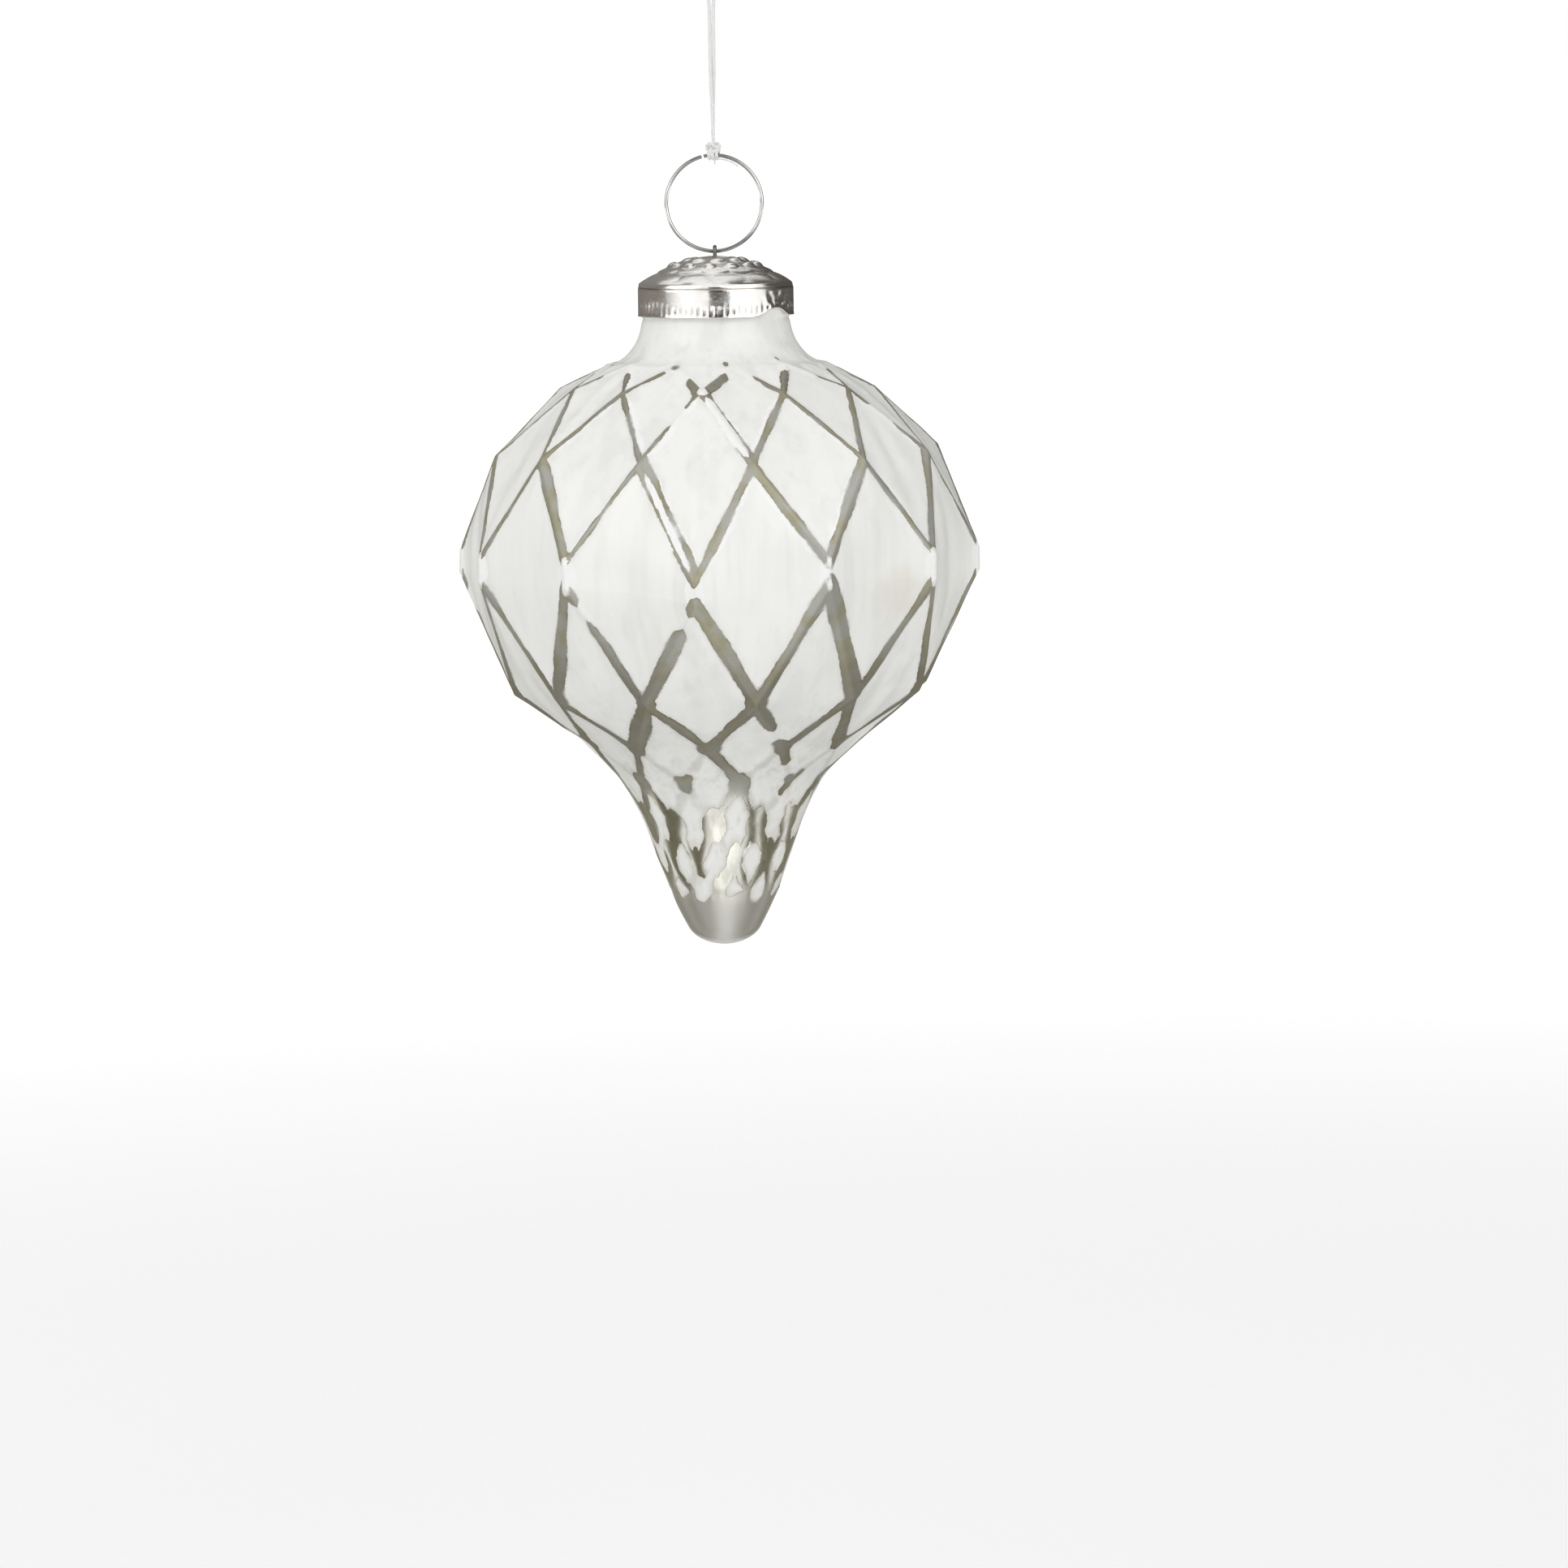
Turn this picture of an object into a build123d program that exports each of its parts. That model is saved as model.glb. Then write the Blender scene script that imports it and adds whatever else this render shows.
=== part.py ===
from build123d import *
import math
import os

# Faceted glass hanging ornament: a blown glass drop with a raised diamond lattice, a stamped
# metal cap held by a spring wire, a split ring and a thread loop.
# Millimetres, +Z up. The origin is where the loop hangs: the inside of its top bend.

# Lattice of the glass body: each row of nodes, from the top down, with its height above the
# equator and its radius. Rows alternate by half a step.
EQUATOR_RADIUS = 41.8
EQUATOR_RIDGE = 3.5  # length of the short upright ridge at each node of the equator
EQUATOR_ROW = 4
LATTICE_ROWS = [
    (32.6, 13.0),  # lies inside the flare of the neck
    (31.7, 17.8),
    (28.0, 25.3),
    (17.8, 35.8),
    (0.0, EQUATOR_RADIUS),
    (-20.5, 33.5),
    (-28.3, 23.0),
    (-34.5, 16.8),
    (-41.6, 13.1),
    (-47.5, 11.1),
    (-52.4, 9.1),
]
LATTICE_COUNT = 12  # nodes in each row
LATTICE_TURN = -5.7  # azimuth of the equator's first node, in degrees from the front
PANEL_FULLNESS = 0.78  # how far a panel's middle stands out towards the chord of its side nodes
GLASS_WALL = 1.2

# Neck and tip of the glass
NECK_RADIUS = 12.2
NECK_TOP = 43.2  # height of the rim above the equator
FLARE_RADIUS = 6.5
FLARE_TOP = 38.0  # height above the equator where the neck starts to flare
FLARE_ANGLE = 72.0
TIP_INSET = 0.5  # step in from the flats of the lowest row of nodes
TIP_SHOULDER_RADIUS = 6.1
TIP_TAPER = 6.3  # height of the tip's taper
TIP_ROUND = 3.1  # height of its rounded end

# Cap
CAP_WALL = 0.3
CAP_CLEARANCE = 0.15  # between the skirt and the neck
CAP_SEAT_GAP = 0.05  # between the shoulder and the neck's rim
CAP_SKIRT = 5.0  # height of the skirt below the shoulder
# Dome from the shoulder inwards: step in from the skirt, height above the shoulder.
CAP_DOME = [(0.0, 0.0), (2.3, 1.9), (5.25, 3.2), (8.55, 4.45)]
CAP_RISE = 4.95  # height of the flat top above the shoulder
CAP_TOP_RADIUS = 2.2  # of the flat round the hole
# Three rings of round bosses on the dome: step in from the skirt, sphere's radius, height proud.
LOBE_COUNT = 12
LOBE_INSET = 3.2
LOBE_RADIUS = 2.2
LOBE_PROUD = 0.45
BEAD_COUNT = 12
BEAD_INSET = 5.6
BEAD_RADIUS = 1.2
BEAD_PROUD = 0.45
PEARL_COUNT = 8
PEARL_INSET = 8.6
PEARL_RADIUS = 1.0
PEARL_PROUD = 0.35
FLUTE_COUNT = 72
FLUTE_RADIUS = 0.4
FLUTE_DEPTH = 0.1
FLUTE_HEIGHT = 2.2

# Eye wire
EYE_WIRE = 0.6  # diameter
EYE_CLEARANCE = 0.08  # between the eye and the ring's wire
EYE_RISE = 1.0  # height of the eye's centre above the cap's top
EYE_HOLE_CLEARANCE = 0.08  # between the two legs and the edge of the cap's hole
LEG_STRAIGHT = 1.6  # straight part of the legs below the cap's top
LEG_REACH = 14.0  # how far the legs reach below the neck's rim
LEG_FOOT = 4.0  # upright end of each leg
LEG_CLEARANCE = 0.12  # between a leg's end and the neck's bore
LEG_BEND = 1.5

# Hanging ring
RING_WIRE = 0.6  # diameter
RING_RADIUS = 7.65  # to the middle of the wire
RING_GAP = 2.4  # width of the butt gap, in degrees
RING_GAP_AT = 13.0  # from the top, towards -X, in degrees

# Thread
THREAD = 0.6  # diameter
KNOT_RADIUS = 1.2
KNOT_HALF_HEIGHT = 1.7
KNOT_RISE = 0.9  # of the knot's middle above the ring's wire
KNOT_TOP = 1.3  # flat top of the knot, above its middle
KNOT_CLEARANCE = 0.06  # between the knot and the ring's wire
TAIL = 0.4  # diameter of the thread's tails
# One leg of the loop, from the knot up: x, y, height above the knot's top. The other leg is its
# half turn about Z.
LOOP_LEG = [
    (0.00, -0.36, 0.0),
    (-0.04, -0.38, 4.9),
    (-0.30, -0.24, 9.4),
    (-0.38, 0.02, 13.9),
    (-0.34, 0.10, 24.4),
    (-2.35, 0.02, 29.9),
    (-2.60, 0.00, 34.4),
]
# The short tail hangs from the knot's foot and the long one lies inside the ring: x, y, height
# above the ring's centre.
SHORT_TAIL = [(0.30, 0.0, 7.6), (0.55, 0.0, 6.0)]
LONG_TAIL = [(0.50, -0.1, 7.0), (2.40, -0.1, 6.45), (4.20, -0.1, 5.35)]

# Heights in the part's own frame, from the loop's bend down
knot_top_z = THREAD / 2 - LOOP_LEG[-1][2]
knot_z = knot_top_z - KNOT_TOP
ring_z = knot_z - KNOT_RISE - RING_RADIUS
eye_z = ring_z - RING_RADIUS
cap_top_z = eye_z - EYE_RISE
shoulder_z = cap_top_z - CAP_RISE
rim_z = shoulder_z - CAP_WALL - CAP_SEAT_GAP
equator_z = rim_z - NECK_TOP

# Sizes that follow from a fit
bore_radius = NECK_RADIUS - GLASS_WALL
skirt_radius = NECK_RADIUS + CAP_CLEARANCE + CAP_WALL
eye_radius = RING_WIRE / 2 + EYE_CLEARANCE + EYE_WIRE / 2
hole_radius = eye_radius + EYE_WIRE / 2 + EYE_HOLE_CLEARANCE
foot_offset = bore_radius - LEG_CLEARANCE - EYE_WIRE / 2


def turned(*edges):
    """A solid turned about Z from a closed outline: X is the radius and Y the height."""
    return revolve(Plane.XZ * make_face(edges), Axis.Z)


def turned_polygon(points):
    """A solid turned about Z from the corners of its outline, each (radius, height)."""
    return turned(*Polyline(*points, close=True).edges())


def inset_rows(wall):
    """The lattice's rows, moved in by a wall square to the profile."""
    rows = []
    last = len(LATTICE_ROWS) - 1
    for i, (height, radius) in enumerate(LATTICE_ROWS):
        above, below = LATTICE_ROWS[max(i - 1, 0)], LATTICE_ROWS[min(i + 1, last)]
        across, down = below[1] - above[1], above[0] - below[0]
        slant = math.hypot(across, down)
        rows.append((height - wall * across / slant, radius - wall * down / slant))
    return rows


def lattice_solid(rows):
    """A closed solid of diamond panels between the rows' nodes, each panel a low pyramid."""
    half_step = 180.0 / LATTICE_COUNT

    def node(row, step, end=0):
        height, radius = rows[row]
        if row == EQUATOR_ROW:
            height += end * EQUATOR_RIDGE / 2
        turn = math.radians(LATTICE_TURN + step * half_step)
        z = equator_z + height
        return Vector(radius * math.sin(turn), -radius * math.cos(turn), z)

    def panel(*corners):
        return Face(Wire.make_polygon(corners))

    faces = []
    last = len(rows) - 1
    for row in range(1, last):
        for k in range(LATTICE_COUNT):
            step = 2 * k + 1 + row % 2
            left_up, left_down = node(row, step - 1, 1), node(row, step - 1, -1)
            right_up, right_down = node(row, step + 1, 1), node(row, step + 1, -1)
            top, bottom = node(row - 1, step, -1), node(row + 1, step, 1)
            sides = (left_up + left_down + right_up + right_down) * 0.25
            middle = sides * PANEL_FULLNESS + (top + bottom) * 0.5 * (1 - PANEL_FULLNESS)
            corners = [top, right_up, right_down, bottom, left_down, left_up]
            if row != EQUATOR_ROW:
                corners = [top, right_up, bottom, left_up]
            for a, b in zip(corners, corners[1:] + corners[:1]):
                faces.append(panel(middle, a, b))
    for row, inner in ((0, 1), (last, last - 1)):
        ring = [node(row, 2 * k + row % 2) for k in range(LATTICE_COUNT)]
        faces.append(panel(*ring))
        for k in range(LATTICE_COUNT):
            step = 2 * k + 1 + row % 2
            faces.append(panel(node(row, step - 1), node(row, step + 1), node(inner, step)))
    return Solid(Shell(faces))


def neck_solid():
    """The round neck with its flare, solid to the axis."""
    top, start = equator_z + NECK_TOP, equator_z + FLARE_TOP
    flare = CenterArc((NECK_RADIUS + FLARE_RADIUS, start), FLARE_RADIUS, 180, FLARE_ANGLE)
    end = flare @ 1
    return turned(
        flare,
        Line(end, (0, end.Y)),
        Line((0, end.Y), (0, top)),
        Line((0, top), (NECK_RADIUS, top)),
        Line((NECK_RADIUS, top), flare @ 0),
    )


def tip_solid(wall):
    """The round tip below the lattice, moved in by a wall and solid to the axis."""
    height, radius = LATTICE_ROWS[-1]
    top = equator_z + height
    flats = radius * math.cos(math.pi / LATTICE_COUNT) - TIP_INSET
    shoulder = top - TIP_TAPER
    end = EllipticalCenterArc((0, shoulder), TIP_SHOULDER_RADIUS - wall, TIP_ROUND - wall, 270, arc_size=90)
    start = top + GLASS_WALL
    return turned(
        Line((TIP_SHOULDER_RADIUS - wall, shoulder), (flats - wall, top)),
        Line((flats - wall, top), (flats - wall, start)),
        Line((flats - wall, start), (0, start)),
        Line((0, start), (0, (end @ 0).Y)),
        end,
    )


def make_glass_body():
    """The blown shell: lattice, neck and tip, with a hollow that follows them and opens at the neck."""
    outside = lattice_solid(LATTICE_ROWS) + neck_solid() + tip_solid(0)
    top = equator_z + NECK_TOP
    low = equator_z + LATTICE_ROWS[2][0]
    bore = turned_polygon([(0, low), (bore_radius, low), (bore_radius, top + 1), (0, top + 1)])
    inside = lattice_solid(inset_rows(GLASS_WALL)) + bore + tip_solid(GLASS_WALL)
    return outside - inside


def dome_height(inset):
    """Height of the dome's outside above the shoulder, at a step in from the skirt."""
    points = CAP_DOME + [(skirt_radius - CAP_TOP_RADIUS, CAP_RISE)]
    for (x0, y0), (x1, y1) in zip(points, points[1:]):
        if inset <= x1:
            return y0 + (y1 - y0) * (inset - x0) / (x1 - x0)
    return CAP_RISE


def cap_blank(wall):
    """The cap's outside, or its hollow when moved in by a wall, solid to the axis."""
    low = shoulder_z - CAP_SKIRT - (1 if wall else 0)
    corners = [(skirt_radius - inset - wall, shoulder_z + rise - wall) for inset, rise in CAP_DOME]
    crown = cap_top_z - wall
    return turned_polygon(
        [(0, low), (skirt_radius - wall, low)] + corners + [(CAP_TOP_RADIUS, crown), (0, crown)]
    )


def bosses(count, inset, radius, proud, turn=0):
    """A ring of spheres that stand proud of the dome."""
    centre_z = shoulder_z + dome_height(inset) + proud - radius
    boss = Pos(skirt_radius - inset, 0, centre_z) * Sphere(radius)
    return [Rot(0, 0, turn + 360 * k / count) * boss for k in range(count)]


def make_metal_cap():
    """The stamped cap: fluted skirt, dome with rings of bosses, and the hole for the wire."""
    blank = cap_blank(0)
    blank += bosses(LOBE_COUNT, LOBE_INSET, LOBE_RADIUS, LOBE_PROUD)
    blank += bosses(BEAD_COUNT, BEAD_INSET, BEAD_RADIUS, BEAD_PROUD, 180 / LOBE_COUNT)
    blank += bosses(PEARL_COUNT, PEARL_INSET, PEARL_RADIUS, PEARL_PROUD)
    flute_z = shoulder_z - CAP_SKIRT + FLUTE_HEIGHT / 2
    flute_x = skirt_radius + FLUTE_RADIUS - FLUTE_DEPTH
    flute = Pos(flute_x, 0, flute_z) * Cylinder(FLUTE_RADIUS, FLUTE_HEIGHT)
    blank -= [Rot(0, 0, 360 * k / FLUTE_COUNT) * flute for k in range(FLUTE_COUNT)]
    hole = Pos(0, 0, cap_top_z) * Cylinder(hole_radius, 4 * CAP_WALL)
    return blank - cap_blank(CAP_WALL) - hole


def rounded_path(points, radius=None):
    """Straight runs joined by tangent arcs. Without a radius, each arc is as large as its runs allow."""
    points = [Vector(*p) for p in points]
    radii = []
    for a, b, c in zip(points, points[1:], points[2:]):
        turn = math.radians((b - a).get_angle(c - b))
        fits = 0.45 * min((b - a).length, (c - b).length) / math.tan(turn / 2)
        radii.append(min(radius, fits) if radius else fits)
    return FilletPolyline(*points, radius=radii), radii


def tube(path, diameter):
    """A round solid of one diameter along a path."""
    return sweep(Plane(path @ 0, z_dir=path % 0) * Circle(diameter / 2), path=path)


def make_eye_wire():
    """The bent spring wire: a loop over the ring, two legs through the cap, spread in the neck."""
    bend_z = cap_top_z - LEG_STRAIGHT
    foot_z = rim_z - LEG_REACH
    leg = [
        (0, foot_offset, foot_z),
        (0, foot_offset, foot_z + LEG_FOOT),
        (0, eye_radius, bend_z),
        (0, eye_radius, eye_z),
    ]
    loop = Plane.YZ * CenterArc((0, eye_z), eye_radius, 0, 180)
    near, _ = rounded_path(leg, LEG_BEND)
    far, _ = rounded_path([(x, -y, z) for x, y, z in reversed(leg)], LEG_BEND)
    path = Wire(near.edges() + loop.edges() + far.edges())
    return tube(path, EYE_WIRE)


def make_hanging_ring():
    """The split ring: round wire bent to a circle, with its butt gap beside the knot."""
    section = Pos(RING_RADIUS, 0) * Circle(RING_WIRE / 2)
    ring = revolve(section, Axis.Y, 360 - RING_GAP)
    return Pos(0, 0, ring_z) * Rot(0, -(90 + RING_GAP_AT - RING_GAP / 2), 0) * ring


def make_ring_knot():
    """The thread's knot round the ring, with its two tails and the hole that the ring's wire fills."""
    lower = EllipticalCenterArc((0, 0), KNOT_RADIUS, KNOT_HALF_HEIGHT, 270, arc_size=180)
    ball = revolve(Plane.XZ * make_face([lower, Line(lower @ 1, lower @ 0)]), Axis.Z)
    lid = Pos(0, 0, KNOT_TOP + KNOT_HALF_HEIGHT / 2) * Box(
        2 * KNOT_RADIUS, 2 * KNOT_RADIUS, KNOT_HALF_HEIGHT
    )
    knot = Pos(0, 0, knot_z) * (ball - lid)
    for tail in (SHORT_TAIL, LONG_TAIL):
        route = [(x, y, ring_z + up) for x, y, up in tail]
        path = Line(*route) if len(route) == 2 else rounded_path(route)[0]
        knot += tube(path, TAIL)
    return knot - Pos(0, 0, ring_z) * Torus(RING_RADIUS, RING_WIRE / 2 + KNOT_CLEARANCE, rotation=(90, 0, 0))


def make_cord_loop():
    """The thread's free loop, pulled tight: two legs that cross once, and the bend over a hook."""
    leg = [(x, y, knot_top_z + up) for x, y, up in LOOP_LEG]
    route = leg + [(-x, -y, z) for x, y, z in reversed(leg)]
    path, radii = rounded_path(route)
    print("cord_loop: radii", [round(r, 2) for r in radii], "length", round(path.length, 2))
    return tube(path, THREAD)


def main():
    nodes = {
        "glass_body": make_glass_body,
        "metal_cap": make_metal_cap,
        "eye_wire": make_eye_wire,
        "hanging_ring": make_hanging_ring,
        "ring_knot": make_ring_knot,
        "cord_loop": make_cord_loop,
    }
    os.makedirs("parts", exist_ok=True)
    for name, make in nodes.items():
        solid = make()
        print(name, "volume", round(solid.volume, 2))
        export_step(solid, f"parts/{name}.step")
    print("equator", round(equator_z, 3), "ring", round(ring_z, 3), "eye", round(eye_z, 3))


if __name__ == "__main__":
    main()
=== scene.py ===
"""Looks of the faceted glass hanging ornament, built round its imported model.

A blown glass drop with a raised diamond lattice, white paint worn off its ridges, a stamped tin cap,
a spring wire with its eye, a split ring and a cotton loop with its knot. Lengths in the dataclasses
are millimetres; meshes are metres in the part's own frame.
"""

from __future__ import annotations

import logging
import math
from dataclasses import dataclass
from enum import Enum
from typing import Callable, ClassVar, Iterable, Sequence, Union

import bmesh
import bpy
import numpy as np
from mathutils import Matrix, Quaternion, Vector

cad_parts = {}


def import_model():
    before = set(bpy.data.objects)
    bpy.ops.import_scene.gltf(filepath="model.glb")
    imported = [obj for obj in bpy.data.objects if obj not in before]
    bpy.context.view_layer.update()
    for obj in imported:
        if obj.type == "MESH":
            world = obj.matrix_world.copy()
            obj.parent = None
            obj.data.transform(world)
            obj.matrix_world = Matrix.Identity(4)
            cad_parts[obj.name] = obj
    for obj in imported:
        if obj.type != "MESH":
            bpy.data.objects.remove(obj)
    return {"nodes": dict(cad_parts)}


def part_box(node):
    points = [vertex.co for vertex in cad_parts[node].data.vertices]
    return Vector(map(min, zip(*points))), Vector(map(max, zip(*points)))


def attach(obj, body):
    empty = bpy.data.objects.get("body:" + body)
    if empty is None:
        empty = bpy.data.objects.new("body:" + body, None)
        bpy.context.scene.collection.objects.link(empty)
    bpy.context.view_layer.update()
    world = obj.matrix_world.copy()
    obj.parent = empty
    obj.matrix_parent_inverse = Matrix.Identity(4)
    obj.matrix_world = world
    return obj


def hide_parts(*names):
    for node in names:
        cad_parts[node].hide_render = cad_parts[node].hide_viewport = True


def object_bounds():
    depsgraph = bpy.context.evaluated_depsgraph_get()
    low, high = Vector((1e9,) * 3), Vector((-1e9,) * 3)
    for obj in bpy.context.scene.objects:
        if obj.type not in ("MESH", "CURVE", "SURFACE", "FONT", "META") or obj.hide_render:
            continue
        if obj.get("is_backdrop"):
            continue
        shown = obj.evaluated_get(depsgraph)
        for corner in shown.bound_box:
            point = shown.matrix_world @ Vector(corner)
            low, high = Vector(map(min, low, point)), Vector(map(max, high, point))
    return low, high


MM = 0.001
LOG = logging.getLogger("ornament")

Colour = tuple[float, float, float]
Point = tuple[float, float, float]
Span = tuple[float, float]
Part = tuple[np.ndarray, list[tuple[int, ...]]]  # vertices and faces
Number = Union[float, "Value"]
Socket = bpy.types.NodeSocket
Piece = bpy.types.Object

WHITE: Colour = (1.0, 1.0, 1.0)
BLACK: Colour = (0.0, 0.0, 0.0)


# ---- Shader maths ----


class Value:
    """A socket in a material's maths. Each operator adds the Math node that it stands for."""

    def __init__(self, graph: Graph, socket: Socket) -> None:
        """Wraps an output socket of a graph."""
        self.graph = graph
        self.socket = socket

    def maths(self, operation: str, *values: Number, clamp: bool = False) -> Value:
        """Adds one Math node.

        Args:
            operation: The Math node's operation.
            values: Its inputs in order, this socket among them.
            clamp: Whether the result is kept from 0 to 1.

        Returns:
            The node's result.
        """
        node = self.graph.node(
            "ShaderNodeMath", {"operation": operation, "use_clamp": clamp}, dict(enumerate(values))
        )
        return Value(self.graph, node.outputs[0])

    def __add__(self, other: Number) -> Value:
        """This plus other."""
        return self.maths("ADD", self, other)

    def __radd__(self, other: Number) -> Value:
        """Other plus this."""
        return self.maths("ADD", other, self)

    def __sub__(self, other: Number) -> Value:
        """This less other."""
        return self.maths("SUBTRACT", self, other)

    def __rsub__(self, other: Number) -> Value:
        """Other less this."""
        return self.maths("SUBTRACT", other, self)

    def __mul__(self, other: Number) -> Value:
        """This times other."""
        return self.maths("MULTIPLY", self, other)

    def __rmul__(self, other: Number) -> Value:
        """Other times this."""
        return self.maths("MULTIPLY", other, self)

    def __truediv__(self, other: Number) -> Value:
        """This over other."""
        return self.maths("DIVIDE", self, other)

    def __abs__(self) -> Value:
        """This without its sign."""
        return self.maths("ABSOLUTE", self)

    def clamped(self) -> Value:
        """This, kept from 0 to 1."""
        return self.maths("ADD", self, 0.0, clamp=True)

    def rise(self, low: float, high: float) -> Value:
        """A smooth step.

        Args:
            low: Where the step is 0. It may be above high, for a step down.
            high: Where the step is 1.

        Returns:
            0 to 1, eased at both ends.
        """
        settings = {"interpolation_type": "SMOOTHSTEP"}
        values = {"Value": self, "From Min": min(low, high), "From Max": max(low, high)}
        if low > high:
            values |= {"To Min": 1.0, "To Max": 0.0}
        return self.graph.value("ShaderNodeMapRange", "Result", settings, values)


class Graph:
    """The node graph of one material or of the world."""

    def __init__(self, owner: bpy.types.ID) -> None:
        """Clears the owner's nodes and takes them over.

        Args:
            owner: The material or the world.
        """
        owner.use_nodes = True
        self.tree = owner.node_tree
        self.tree.nodes.clear()

    def node(
        self, kind: str, settings: dict[str, object] | None = None, values: dict | None = None
    ) -> bpy.types.Node:
        """Adds any node.

        Args:
            kind: The node's type.
            settings: Its own settings, set before its sockets.
            values: A number, colour, Value or socket for each input, by name or place.

        Returns:
            The node.
        """
        node = self.tree.nodes.new(kind)
        for name, setting in (settings or {}).items():
            setattr(node, name, setting)
        for name, value in (values or {}).items():
            if isinstance(value, Value):
                value = value.socket
            if isinstance(value, Socket):
                self.tree.links.new(value, node.inputs[name])
            elif isinstance(value, tuple) and len(value) == 3 and node.inputs[name].type == "RGBA":
                node.inputs[name].default_value = (*value, 1.0)
            else:
                node.inputs[name].default_value = value
        return node

    def value(
        self, kind: str, output: str, settings: dict[str, object] | None = None, values: dict | None = None
    ) -> Value:
        """Adds a node, as node does, and returns one of its outputs as a Value."""
        return Value(self, self.node(kind, settings, values).outputs[output])

    def attribute(self, name: str) -> Value:
        """A number kept on the mesh's vertices."""
        return self.value("ShaderNodeAttribute", "Fac", {"attribute_name": name})

    def position(self, stretch: Point = (1.0, 1.0, 1.0)) -> Socket:
        """Reads the Object coordinates.

        Args:
            stretch: How much they are stretched along each axis.

        Returns:
            The place in millimetres, times stretch.
        """
        place = self.node("ShaderNodeTexCoord").outputs["Object"]
        scale = tuple(s / MM for s in stretch)
        return self.node("ShaderNodeMapping", None, {"Vector": place, "Scale": scale}).outputs["Vector"]

    def axis(self, name: str) -> Value:
        """One of the X, Y and Z Object coordinates in millimetres."""
        return self.value("ShaderNodeSeparateXYZ", name, None, {"Vector": self.position()})

    def noise(
        self, size: float, detail: float = 2.0, stretch: Point = (1.0, 1.0, 1.0), warp: float = 0.0
    ) -> Value:
        """Soft noise.

        Args:
            size: Rough size of its blots in millimetres.
            detail: How many finer layers it has.
            stretch: How much its blots shrink along each axis.
            warp: How far it is drawn into swirls.

        Returns:
            Noise from -1 to 1, mostly within half of that.
        """
        values = {"Vector": self.position(stretch), "Scale": 1.0 / size, "Detail": detail, "Distortion": warp}
        return self.value("ShaderNodeTexNoise", "Fac", {"noise_dimensions": "3D"}, values) * 2.0 - 1.0

    def blend(self, factor: Number, first: Colour | Socket, second: Colour | Socket) -> Socket:
        """Mixes two colours.

        Args:
            factor: 0 for the first, 1 for the second.
            first: A colour.
            second: Another.

        Returns:
            The mixed colour.
        """
        values = {0: factor, 6: first, 7: second}
        return self.node("ShaderNodeMix", {"data_type": "RGBA"}, values).outputs[2]

    def grain(self, height: Value, depth: float) -> Socket:
        """A bump of a given depth in millimetres, for a Normal socket."""
        values = {"Height": height, "Distance": depth * MM, "Strength": 1.0}
        return self.node("ShaderNodeBump", None, values).outputs["Normal"]

    def principled(self, values: dict[str, object]) -> None:
        """Adds the Principled shader with its inputs' values and sends it to the output."""
        self.surface(self.node("ShaderNodeBsdfPrincipled", None, values).outputs["BSDF"])

    def surface(self, shader: Socket) -> None:
        """Sends a shader to the output of the material or the world.

        Args:
            shader: The finished shader.
        """
        kind = "ShaderNodeOutputMaterial"
        if isinstance(self.tree.id_data, bpy.types.World):
            kind = "ShaderNodeOutputWorld"
        self.node(kind, None, {"Surface": shader})


def new_material(name: str) -> tuple[bpy.types.Material, Graph]:
    """An empty material and its graph."""
    material = bpy.data.materials.new(name)
    return material, Graph(material)


# ---- Finishes ----


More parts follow.
